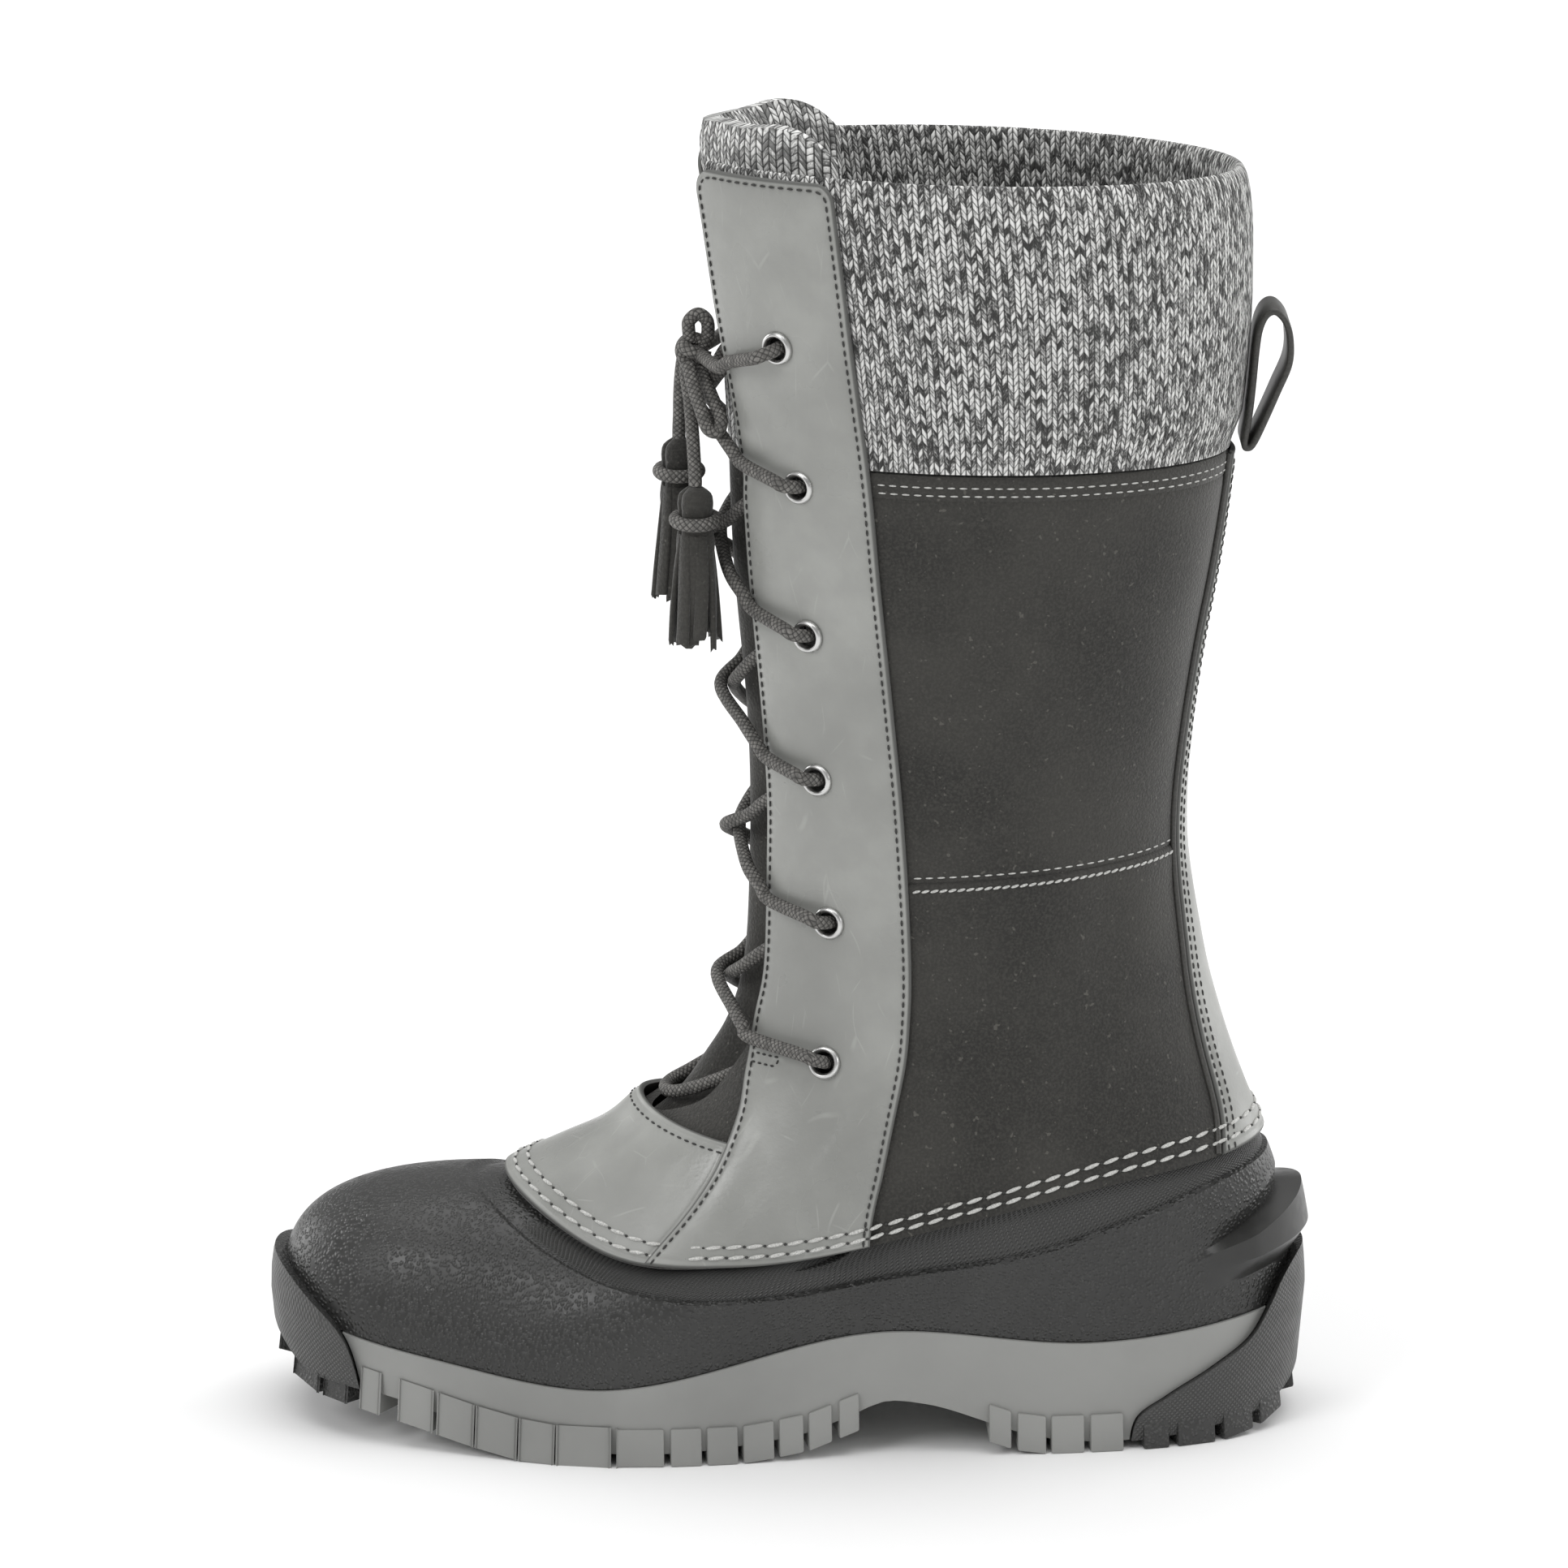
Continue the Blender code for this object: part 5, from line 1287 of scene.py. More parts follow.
@dataclass
class Leg:
    """Suede leg with its leather facings, vamp and backstay, and the knitted collar."""

    columns: int = 360
    throat_margin: float = 2.2 * MM
    lip_rise: float = 2.6 * MM
    lip_angle: float = 30.0
    facing_top: float = 9.97
    facing_front: tuple[Pair, ...] = (
        (1.0, 51.5), (1.6, 49.5), (2.1, 45.5), (2.6, 39.5), (3.1, 32.0), (3.9, 24.5), (5.0, 23.0),
    )
    facing_rear: tuple[Pair, ...] = (
        (1.0, 88.0), (1.85, 81.5), (2.8, 76.5), (3.65, 75.0), (5.1, 73.5), (6.3, 69.5), (7.25, 66.0),
        (8.2, 63.5), (10.0, 62.5),
    )
    backstay_edge: tuple[Pair, ...] = (
        (1.0, 153.0), (2.0, 156.0), (3.3, 157.0), (5.0, 162.0), (6.3, 166.0), (7.93, 172.0),
    )
    hole_radius: float = 3.9 * MM
    sole_seams: tuple[float, ...] = (3.7 * MM, 7.7 * MM)
    facing_seam: float = 2.0 * MM
    stay_seams: tuple[float, ...] = (1.6 * MM, 4.2 * MM)
    vamp_seam: float = 4.0 * MM
    lap_rise: float = 0.45 * MM
    suede_seams: tuple[tuple[float, Stitch, float, float], ...] = (
        (MID_SEAM + 0.058, THIN, 0.0, 1.5), (MID_SEAM - 0.045, ROPED, 0.45 * MM, 1.5),
        (SEAM_ROW - 0.08, THIN, 0.0, 1.0), (SEAM_ROW - 0.14, THIN, 0.0, 1.0),
    )
    piping_radius: float = 0.9 * MM
    tack_rows: Pair = (3.22, 3.34)
    tack_width: float = 9.0

    def front(self, rows: Array) -> Array:
        """Front edge of a facing: the pattern below, the throat's edge above."""
        drawn = edge_angle(self.facing_front, rows)
        throat = LAST.angle_of_width(np.maximum(rows, 3.0), LAY.throat_half_width)
        return drawn + (throat - drawn) * ease((rows - 3.4) / 0.9)

    def rear(self, rows: Array) -> Array:
        """Rear edge of a facing."""
        return edge_angle(self.facing_rear, rows)

    def stay(self, rows: Array) -> Array:
        """Edge of the backstay on the outer side."""
        return edge_angle(self.backstay_edge, rows)

    def tube(self, name: str, rows: Array, inner: Array, outer: Array, fade: float) -> Mesh:
        """Hollow tube round the leg, whose inside is on the second material.

        Args:
            name: The mesh's name.
            rows: Rows of its sections.
            inner: Offset of its inside at each row and angle.
            outer: Offset of its outside.
            fade: How much of the folds it takes.

        Returns:
            The mesh, with wales and courses as its UV map.
        """
        turn = around(self.columns)
        grid = rows[:, None] + 0 * turn
        bend = relief(turn[None, :], grid) * fade
        outside = LAST.layer(turn[None, :], grid, outer + bend)
        inside = LAST.layer(turn[None, :], grid, inner + bend)[::-1]
        points = np.concatenate([outside, inside, outside[:1]])
        girth = np.linalg.norm(np.diff(outside[len(rows) // 2], axis=0), axis=1).sum()
        wales = round(girth / (WALE * MM))
        high = np.concatenate([[0], np.cumsum(np.linalg.norm(np.diff(points, axis=0), axis=-1).mean(axis=1))])
        uv = np.stack(np.meshgrid(turn / 360.0 * wales, high / (COURSE * MM)), -1)
        lining = (len(rows) - 1, 2 * len(rows) - 1)
        return laid(name, points, uv, {"edge": np.full(points.shape[:2], 9.0)}, 50.0, lining)

    def throat(self) -> Mesh:
        """Cutter that opens the front from the throat's foot up past the collar."""
        half = LAY.throat_half_width + self.throat_margin
        low = float(LAST.surface(0.0, THROAT_ROW)[2])
        bend = np.radians(np.linspace(180, 360, 25))
        arch = [(half * math.cos(a), low + half * 0.5 * (1 + math.sin(a))) for a in bend]
        top = LAST.collar_height * 1.1
        outline = [*arch, (half, top), (-half, top)]
        mesh = outlined("throat", outline, LAST.shaft_depth * 0.375)
        for vert in mesh.vertices:
            vert.co = Vector((vert.co.y - LAST.shaft_depth * 0.125, vert.co.x, vert.co.z))
        mesh.flip_normals()
        return mesh

    def holes(self, radius: float) -> Mesh:
        """Cutter for all the eyelets' holes."""
        solid = bmesh.new()
        for side in Side:
            for row, angle in EYELETS:
                verts = bmesh.ops.create_cone(
                    solid, cap_ends=True, segments=28, radius1=radius, radius2=radius, depth=0.03,
                )["verts"]
                turn = Vector(LAST.normal(angle * side.value, row)).to_track_quat("Z", "Y").to_matrix()
                bmesh.ops.rotate(solid, verts=verts, matrix=turn)
                bmesh.ops.translate(solid, verts=verts, vec=Vector(LAST.surface(angle * side.value, row)))
        return made_mesh("holes", solid)

    def build_quarters(self) -> None:
        """Suede tube, its lower half lapped over its upper half at the middle seam."""
        rows = np.unique(np.concatenate([
            np.linspace(TOP_LINE, SEAM_ROW, 110), MID_SEAM + np.array([-0.06, -0.02, 0.0, 0.012, 0.05]),
            SEAM_ROW - np.array([0.19, 0.18, 0.17, 0.03, 0.01]),
        ]))
        turn = around(self.columns)
        grid = rows[:, None] + 0 * turn
        lap = self.lap_rise * (ease((grid - MID_SEAM + 0.4) / 0.38) - ease((grid - MID_SEAM) / 0.012))
        fold = -0.5 * MM * np.exp(-(((grid - MID_SEAM - 0.015) / 0.02) ** 2))
        band = -0.3 * MM * np.exp(-(((grid - SEAM_ROW + 0.18) / 0.012) ** 2))
        tuck = -0.5 * MM * ease((grid - SEAM_ROW + 0.03) / 0.03)
        outer = LAY.upper_outer + lap + fold + band + tuck
        mesh = self.tube("suede_quarters", rows, np.full(grid.shape, LAY.upper_inner), outer, 1.0)
        finishes = [QUARTER_SUEDE, LINING_FELT]
        quarters = shown("suede_quarters", mesh, finishes, ["upper"])
        carved(quarters, [self.throat(), self.holes(self.hole_radius)])

    def build_collar(self) -> None:
        """Knitted collar with its rolled rim."""
        turn = around(self.columns)
        away = from_front(turn)
        swell = LAY.cuff_swell * ease((away - 68.0) / 14.0)
        rim = COLLAR_ROW - np.linspace(0.3, 0, 16) ** 1.4
        rows = np.unique(np.concatenate([np.linspace(SEAM_ROW + 0.02, 9.7, 50), rim]))
        grid = rows[:, None] + 0 * turn
        puff = ease((grid - SEAM_ROW) / 0.35) * (1 - 0.25 * ease((grid - 9.5) / 0.4))
        roll = np.sqrt(np.clip(1 - ((grid - 9.72) / 0.28) ** 2, 0, 1))
        roll = np.where(grid > 9.72, roll, 1.0)
        middle = (LAY.upper_outer - LAY.cuff_inner) / 2 + swell * 0.3
        outer = middle + (LAY.upper_outer + swell * puff - middle) * roll
        inner = middle + (-LAY.cuff_inner - middle) * roll
        mesh = self.tube("knit_collar", rows, inner, outer, 0.3)
        mesh.polygons.foreach_set("material_index", np.zeros(len(mesh.polygons), dtype=np.int32))
        collar = shown("knit_collar", mesh, [COLLAR_KNIT], ["cuff"])
        carved(collar, [self.throat(), self.holes(self.hole_radius)])

    def facing(self, side: Side) -> Panel:
        """The facing of one side."""
        edges = self.front, self.rear
        if side is Side.MEDIAL:
            edges = (lambda rows: -self.rear(rows)), (lambda rows: -self.front(rows))

        def lap(rows: Array, angles: Array) -> Array:
            """Raise the lower front edge over the vamp."""
            past = np.abs(angles) - edge_angle(self.facing_front, rows)
            return 0.9 * MM * (1 - ease((rows - 2.2) / 0.6)) * (1 - ease((past - 3.0) / 8.0))

        corners = (8.0 * MM, 5.0 * MM) if side is Side.LATERAL else (5.0 * MM, 8.0 * MM)
        return Panel(f"leather_facing_{side.word}", TOP_LINE, self.facing_top, *edges, corners, lap)

    def vamp(self) -> Panel:
        """The leather over the instep."""
        def half(rows: Array) -> Array:
            """Edge of the vamp, which ends just under the facing's."""
            return edge_angle(self.facing_front, rows) + 0.9

        def lift(rows: Array, angles: Array) -> Array:
            """Raise the lip over the lowest lace."""
            return self.lip_rise * ease((rows - 1.7) / 0.55) * (1 - ease(np.abs(angles) / self.lip_angle))

        return Panel(
            "leather_vamp", TOP_LINE, THROAT_ROW, lambda rows: -half(rows), half, lift=lift, inner_columns=70,
            pitch=1.2 * MM,
        )

    def backstay(self) -> Panel:
        """The leather strip down the back."""
        return Panel(
            "leather_backstay", TOP_LINE, SEAM_ROW, self.stay, lambda rows: 360.0 - self.stay(rows), inner_columns=14,
        )

    def build(self) -> None:
        """Build and dress the leg."""
        self.build_quarters()
        self.build_collar()
        leather = [WAXED_LEATHER]
        for side in Side:
            panel = self.facing(side)
            facing = shown(panel.name, panel.mesh(), leather, [f"facing_{side.word}"])
            carved(facing, [self.holes(self.hole_radius)])
        for panel, node in ((self.vamp(), "vamp"), (self.backstay(), "backstay")):
            shown(panel.name, panel.mesh(), leather, [node])
        self.pipe()

    def pipe(self) -> None:
        """Dark piping along both edges of the backstay."""
        rows = np.linspace(TOP_LINE + 0.04, SEAM_ROW - 0.02, 60)
        lines = []
        for side in Side:
            angles = (self.stay(rows) - 1.1) * side.value
            lines.append(LAST.layer(angles, rows, LAY.upper_outer + 0.5 * MM + relief(angles, rows)))
        mesh = cord("backstay_piping", lines, self.piping_radius, 120, 10)
        shown("backstay_piping", mesh, [STRAP_LEATHER])

    def level(self, angles: Array, rows: Array) -> Array:
        """Offset of the leg's outside: leather or suede."""
        away = from_front(angles)
        open_suede = ease((away - self.rear(rows)) / 0.8) * (1 - ease((away - self.stay(rows) + 0.8) / 0.8))
        return LAY.overlay_outer + (LAY.upper_outer - LAY.overlay_outer) * open_suede

    def above_edge(self, distance: float, turn: Array) -> Array:
        """Line round the boot this far above the leather's lower edge, as angles and rows."""
        step = LAST.surface(turn, 1.1) - LAST.surface(turn, 1.0)
        return np.stack([turn, 1.0 + 0.1 * distance / np.linalg.norm(step, axis=-1)], -1)

    def sew(self) -> None:
        """Sew the leg."""
        pale = Stitching("pale_stitches", PALE_THREAD, "grey_leather")
        dark = Stitching("dark_stitches", DARK_THREAD, "grey_leather")
        turn = np.linspace(0.0, 360.0, 900)
        for distance in self.sole_seams:
            pale.run(self.above_edge(distance, turn), self.level, HEAVY)
            # Painted shade in the needle holes, as dark marks between the pale stitches
            dark.run(self.above_edge(distance, turn), self.level, HOLE_SHADE)
        leather, suede = LAY.overlay_outer, LAY.upper_outer
        for side in Side:
            facing = self.facing(side)
            for line in facing.seam(self.facing_seam):
                dark.run(line, lambda angles, rows: leather + facing.lift(rows, angles), FINE)
            for row, kind, rise, gap in self.suede_seams:
                angles = np.linspace(self.rear(np.array(row)) + 1.0, self.stay(np.array(row)) - gap, 60)
                pale.run(at_row(angles * side.value, row), suede + rise, kind)
        stay = self.backstay()
        for inset in self.stay_seams:
            for line in stay.seam(inset, top=False):
                half = len(line) // 2
                dark.run(line[:half], leather, FINE)
                dark.run(line[half:], leather, FINE)
        vamp = self.vamp()
        rows, at = vamp.heights()
        row = float(np.interp(at[-1] - self.vamp_seam, at, rows))
        reach = float(vamp.last(np.array(row))) - 1.0
        line = at_row(np.linspace(-reach, reach, 90), row)
        dark.run(line, lambda angles, rows: leather + vamp.lift(rows, angles), FINE)
        self.tack(dark)
        pale.build()
        dark.build()

    def tack(self, thread: Stitching) -> None:
        """Sew the small box that holds each facing at the throat's foot."""
        for side in Side:
            start = float(self.front(np.array([3.28]))[0]) + 2.6
            end = start + self.tack_width
            for row in self.tack_rows:
                thread.run(at_row(np.linspace(start, end, 8) * side.value, row), LAY.overlay_outer, TACK)
            rows = np.linspace(*self.tack_rows, 6)
            thread.run(np.stack([np.full(6, end * side.value), rows], -1), LAY.overlay_outer, TACK)


# Eyelets of one side, from the lowest: row, angle
EYELETS = ((3.35, 55.0), (4.70, 51.0), (5.78, 47.0), (6.73, 46.0), (7.78, 45.0), (8.78, 43.5))


class TongueRow(NamedTuple):
    """Section of the tongue: offsets of its middle and sides, share of the roll's thickness, and its reach."""

    row: float
    middle: float
    sides: float
    roll: float
    reach: float


@dataclass
class Tongue:
    """Tongue of suede below and a knitted roll above."""

    wall: float = 3.5 * MM
    roll: float = 10.0 * MM
    hump: float = 19.0
    columns: int = 60
    knit_from: float = 7.9
    rise: float = 0.18
    ear: float = 0.06
    rows: tuple[TongueRow, ...] = (
        TongueRow(1.60, 0.0, 0.0, 0.0, 36.0), TongueRow(2.05, -1.2 * MM, -3.5 * MM, 0.0, 36.0),
        TongueRow(2.5, -0.4 * MM, -4.6 * MM, 0.0, 36.0), TongueRow(3.0, 2.0 * MM, -4.6 * MM, 0.0, 37.0),
        TongueRow(3.5, 2.4 * MM, -4.6 * MM, 0.0, 37.0), TongueRow(4.0, 2.4 * MM, -4.6 * MM, 0.0, 37.0),
        TongueRow(5.0, 2.4 * MM, -4.6 * MM, 0.0, 37.0), TongueRow(6.0, 2.4 * MM, -4.6 * MM, 0.0, 37.0),
        TongueRow(7.0, 2.4 * MM, -5.0 * MM, 0.0, 38.0), TongueRow(7.8, 1.8 * MM, -7.4 * MM, 0.1, 42.0),
        TongueRow(8.4, 0.0, -7.4 * MM, 0.7, 50.0), TongueRow(9.0, -4.3 * MM, -7.4 * MM, 1.0, 56.0),
        TongueRow(9.55, -4.3 * MM, -7.6 * MM, 1.0, 60.0), TongueRow(9.88, -4.6 * MM, -8.2 * MM, 0.85, 61.0),
        TongueRow(10.0, -6.5 * MM, -10.0 * MM, 0.15, 61.0),
    )

    def section(self, rows: Array) -> Array:
        """Points of the tongue's sections at rows."""
        knots, middle, sides, roll, reach = (np.array(column) for column in zip(*self.rows))
        middle, sides, roll, reach = (
            smooth(knots, column, rows)[:, None] for column in (middle, sides, roll, reach)
        )
        share = np.sin(np.linspace(-1, 1, self.columns) * math.pi / 2)
        angles = reach * share
        hump = np.cos(np.clip(angles / self.hump, -1, 1) * math.pi / 2) ** 2
        outer = sides + (middle - sides) * hump
        depth = (self.wall + (self.roll - self.wall) * np.clip(roll, 0, 1)) * (1 - 0.45 * np.abs(share) ** 4)
        edge = np.sqrt(np.maximum(1 - np.abs(share) ** 8, 0.0))
        raised = self.rise + self.ear * np.exp(-(((np.abs(share) - 0.75) / 0.2) ** 2)) - self.rise * np.abs(share) ** 12
        grid = rows[:, None] + raised * ease(rows[:, None] - 9.0)
        middle_line = outer - depth / 2
        high = LAST.layer(angles, grid, middle_line + depth / 2 * edge)
        low = LAST.layer(angles, grid, middle_line - depth / 2 * edge)
        return np.concatenate([low, high[:, ::-1], low[:, :1]], axis=1)

    def build(self) -> None:
        """Build and dress the tongue."""
        rows = [np.linspace(self.rows[0].row, 9.8, 120), COLLAR_ROW - np.linspace(0.19, 0, 10) ** 1.3]
        rows = np.concatenate(rows)
        points = self.section(rows)
        ends = [there_and_back(points[end, :self.columns]) for end in (0, -1)]
        points = np.concatenate([ends[:1], points, ends[1:]])
        chart = measured(points) / (WALE, COURSE)
        start = int(np.argmax(rows > self.knit_from))
        mesh = laid("tongue_sheet", points, chart, None, 60.0, (start, len(points)))
        finishes = [TASSEL_SUEDE, TONGUE_KNIT]
        shown("tongue_sheet", mesh, finishes, ["tongue"])


@dataclass
class Tassel:
    """Fringed suede tassel: a gathered head, strips, and a turn of lace round its neck.

    Its top is where the lace enters it. Sizes across are shares of its width and heights of its length.
    """

    name: str
    top: Array
    seed: int
    width: float = 13.0 * MM
    length: float = 46.0 * MM
    strips: int = 11
    strip_half: float = 1.9 * MM
    strip_thick: float = 0.75 * MM
    strip_top: float = 0.29
    neck: float = 0.205
    head_knots: tuple[float, ...] = (0.0, 0.03, 0.09, 0.16, 0.24, 0.30, 0.42, 0.50)
    head_widths: tuple[float, ...] = (0.16, 0.31, 0.385, 0.37, 0.36, 0.40, 0.40, 0.30)
    strip_plan: tuple[Pair, ...] = (
        (-1, 0.4), (-0.8, 1), (0, 1.15), (0.8, 1), (1, 0.4), (1, -0.4), (0.8, -1), (0, -0.9), (-0.8, -1),
        (-1, -0.4), (-1, 0.4),
    )

    def head(self) -> Mesh:
        """The gathered head, creased on two sides."""
        turns = np.linspace(0, math.tau, 33)
        fold = 1 - 0.30 * np.exp(-((np.sin(turns - 0.4) / 0.16) ** 2))
        section = np.stack([np.cos(turns), np.sin(turns) * 0.9, 0 * turns], -1) * fold[:, None]
        rings = [
            self.top + section * self.width * smooth(self.head_knots, self.head_widths, share)
            - (0.0, 0.0, self.length * share)
            for share in np.linspace(0, self.head_knots[-1], 26)
        ]
        return laid("head", capped(rings), None, None, 60.0)

    def strip(self, number: int, rng: np.random.Generator) -> Mesh:
        """One hanging strip, with its own bend and end."""
        turn = math.tau * number / self.strips + rng.uniform(-0.15, 0.15)
        spread = self.width * (0.34 if number % 3 == 2 else rng.uniform(0.46, 0.54))
        share = np.linspace(self.strip_top, rng.uniform(0.92, 1.0), 18)
        run = (share - share[0]) / (share[-1] - share[0])
        out = np.array((math.cos(turn), math.sin(turn), 0.0))
        side = np.array((-math.sin(turn), math.cos(turn), 0.0))
        start = self.width * 0.30
        reach = start + (spread - start) * run + 0.7 * MM * np.sin(run * math.pi) * rng.uniform(0.2, 1)
        sway = side * (1.1 * MM * np.sin(run * 2.4 + rng.uniform(0, 3)) * run)[:, None]
        middle = self.top + out * reach[:, None] + sway - np.stack([0 * share, 0 * share, share * self.length], -1)
        rings = []
        for place, along in zip(middle, run):
            roll = 0.5 * along * math.sin(number * 2.3)
            across = side * math.cos(roll) + out * math.sin(roll)
            outward = out * math.cos(roll) - side * math.sin(roll)
            rings.append([
                place + across * x * self.strip_half + outward * y * self.strip_thick for x, y in self.strip_plan
            ])
        rings = np.array(rings)
        corners = len(self.strip_plan) - 1
        rings[-1, :, 2] += rng.uniform(-1.2, 1.2, corners)[[*range(corners), 0]] * MM
        return laid(f"strip_{number}", capped(rings), None, None, 50.0)

    def ring(self) -> Mesh:
        """The turn of lace, on the second material."""
        turns = np.linspace(0, math.tau, 17)
        radius = self.width * 0.58 - LAY.lace_radius
        circle = np.stack([radius * np.cos(turns), radius * np.sin(turns), 0.6 * MM * np.sin(turns)], -1)
        line = self.top + circle - (0.0, 0.0, self.length * self.neck)
        return numbered(cord("ring", [line], LAY.lace_radius, 48), 1)

    def build(self) -> bpy.types.Object:
        """Build and dress the tassel."""
        rng = np.random.default_rng(self.seed)
        parts = [self.head(), *(self.strip(number, rng) for number in range(self.strips)), self.ring()]
        finishes = [TASSEL_SUEDE, LACE_BRAID]
        return shown(f"suede_{self.name}", joined(self.name, parts), finishes, [self.name])


@dataclass
class Lacing:
    """Eyelets, laces, the bow's knot and loops, and the two tassels."""

    bore: float = 3.0 * MM
    flange: float = 4.8 * MM
    barrel: float = 0.35 * MM
    crown: float = 0.9 * MM
    depth: float = 1.0 * MM
    seat: float = 0.5 * MM
    path_points: int = 40
    over_edge: tuple[Triple, ...] = ((0.12, 1.0, 6.0), (0.20, 1.0, 1.5), (0.32, 0.72, 0.0))
    under_edge: tuple[Triple, ...] = (
        (0.62, -0.42, 0.0), (0.74, -0.74, 0.0), (0.82, -1.0, 0.0), (0.87, -1.0, -4.0), (0.90, -1.0, -7.5),
    )
    bar: tuple[Triple, ...] = (
        (2.44, 0.0, 2.4 * MM), (2.48, 7.0, 2.1 * MM), (2.66, 13.0, 0.8 * MM), (2.95, 20.0, -1.0 * MM),
        (3.16, 26.0, -2.1 * MM), (3.30, 33.0, -2.3 * MM),
    )
    knot_wraps: tuple[tuple[float, str], ...] = ((27.0, "Y"), (79.0, "X"))
    knot_size: float = 10.4 * MM
    knot_place: Triple = (8.63, 7.0, 7.6 * MM)
    top_loop: tuple[Triple, ...] = (
        (-0.33, 0.0, 1.46), (-0.30, 0.0, 2.20), (0.36, 0.0, 2.72), (1.02, 0.0, 2.20), (1.06, 0.0, 1.10),
    )
    low_loop: tuple[Triple, ...] = (
        (0.50, -0.50, -1.30), (1.0, -1.45, -2.3), (1.62, -2.65, -3.5), (2.08, -3.40, -4.6), (1.78, -3.65, -5.35),
        (1.08, -3.62, -5.1), (0.62, -3.2, -3.9), (0.05, -2.35, -2.3), (-0.40, -1.36, -0.72),
    )
    near_end: tuple[Triple, ...] = (
        (-0.55, -0.30, -1.32), (-0.25, -0.95, -3.6), (-0.05, -1.75, -6.0), (0.10, -2.45, -8.2),
        (0.15, -2.75, -9.2), (0.15, -2.75, -9.6),
    )
    far_end: tuple[Triple, ...] = (
        (-0.80, 0.80, -0.95), (-1.0, 1.05, -3.0), (-1.05, 1.20, -4.9), (-1.1, 1.30, -6.3), (-1.1, 1.30, -6.8),
    )

    @property
    def laid_at(self) -> float:
        """Offset of a lace's middle where it lies on a facing."""
        return LAY.overlay_outer + 3 * LAY.gap + LAY.lace_radius

    def throat_angle(self, row: float) -> float:
        """Angle of the throat's edge."""
        return float(LAST.angle_of_width(np.array([row]), LAY.throat_half_width)[0])

    def over_flange(self, row: float, angle: float, rise: float) -> list[Triple]:
        """Lace from inside an eyelet out over its flange: row, angle, offset."""
        radius, gap = LAY.lace_radius, LAY.gap
        crest = LAY.overlay_outer + self.seat + self.crown + radius + 3 * gap
        return [
            (row, angle, LAY.overlay_inner - 3 * MM),
            (row, angle, LAY.overlay_inner),
            (row + 0.01 * rise, angle - 0.4, LAY.overlay_outer + radius * 0.8),
            (row + 0.03 * rise, angle - 2.2, crest),
            (row + 0.06 * rise, angle - 4.8, crest + gap),
        ]

    def strand(self, side: int, number: int, height: float) -> Array:
        """Lace from one eyelet over its facing, across the front and under the other facing."""
        row, angle = EYELETS[number]
        rise = EYELETS[number + 1][0] - row
        under = -LAY.cuff_inner if row + rise > SEAM_ROW else LAY.upper_inner
        hidden = under - LAY.lace_radius - LAY.gap
        depths = (4.0 * MM, 1.2 * MM, hidden * 0.85, hidden, hidden)
        places = self.over_flange(row, angle, rise)
        for share, across, onward in self.over_edge:
            at = row + share * rise
            places.append((at, self.throat_angle(at) * across + onward, self.laid_at))
        places.append((row + 0.5 * rise, 0.0, height))
        for (share, across, onward), depth in zip(self.under_edge, depths):
            at = row + share * rise
            places.append((at, self.throat_angle(at) * across + onward, depth))
        return np.array([LAST.layer(turn * side, place, offset) for place, turn, offset in places])

    def from_knot(self, points: Sequence[Triple]) -> Array:
        """Points given in lace diameters from the knot's centre."""
        row, angle, offset = self.knot_place
        return LAST.layer(angle, row, offset) + np.array(points) * 2 * LAY.lace_radius

    def build_eyelets(self) -> None:
        """Eyelets, each a rolled ring with its barrel."""
        bore, flange, seat = self.bore, self.flange, -self.seat * 0.9
        arc = np.radians(np.linspace(180, 0, 11))
        middle, half = (bore + flange) / 2, (flange - bore) / 2
        crown = [(middle + half * math.cos(a), seat + (self.crown - seat) * math.sin(a)) for a in arc]
        profile = [(bore, -self.depth), *crown, (bore + self.barrel, seat), (bore + self.barrel, -self.depth)]
        turns = np.linspace(0, math.tau, 41)
        for side in Side:
            for number, (row, angle) in enumerate(EYELETS, start=1):
                normal = LAST.normal(angle * side.value, row)
                basis = np.array(Vector(normal).to_track_quat("Z", "Y").to_matrix())
                origin = LAST.layer(angle * side.value, row, LAY.overlay_outer + self.seat)
                rings = [
                    np.stack([r * np.cos(turns), r * np.sin(turns), 0 * turns + h], -1) @ basis.T + origin
                    for r, h in [*profile, profile[0]]
                ]
                name = f"steel_eyelet_{side.word}_{number}"
                mesh = laid(name, np.array(rings), None, None, 50.0)
                shown(name, mesh, [EYELET_STEEL], [f"eyelet_{side.word}_{number}"])

    def build_crossings(self) -> None:
        """Laces across the front, and the bar under the vamp's lip."""
        braid = [LACE_BRAID]
        low = 2.4 * MM + LAY.lace_radius + 4 * LAY.gap
        heights = (low, low + 2 * LAY.lace_radius + 0.05 * MM)
        for number in range(len(EYELETS) - 1):
            levels = heights if number % 2 else heights[::-1]
            lines = [self.strand(side, number, height) for side, height in zip((1, -1), levels)]
            name = f"braided_crossing_{number + 1}"
            mesh = cord(name, lines, LAY.lace_radius, 90)
            shown(name, mesh, braid, [f"lace_crossing_{number + 1}"])
        half = [LAST.layer(angle, row, offset) for row, angle, offset in self.bar]
        other = [LAST.layer(-angle, row, offset) for row, angle, offset in self.bar[:0:-1]]
        mesh = cord("braided_bar", [np.array([*other, *half])], LAY.lace_radius, 70)
        shown("braided_bar", mesh, braid, ["lace_bar"])

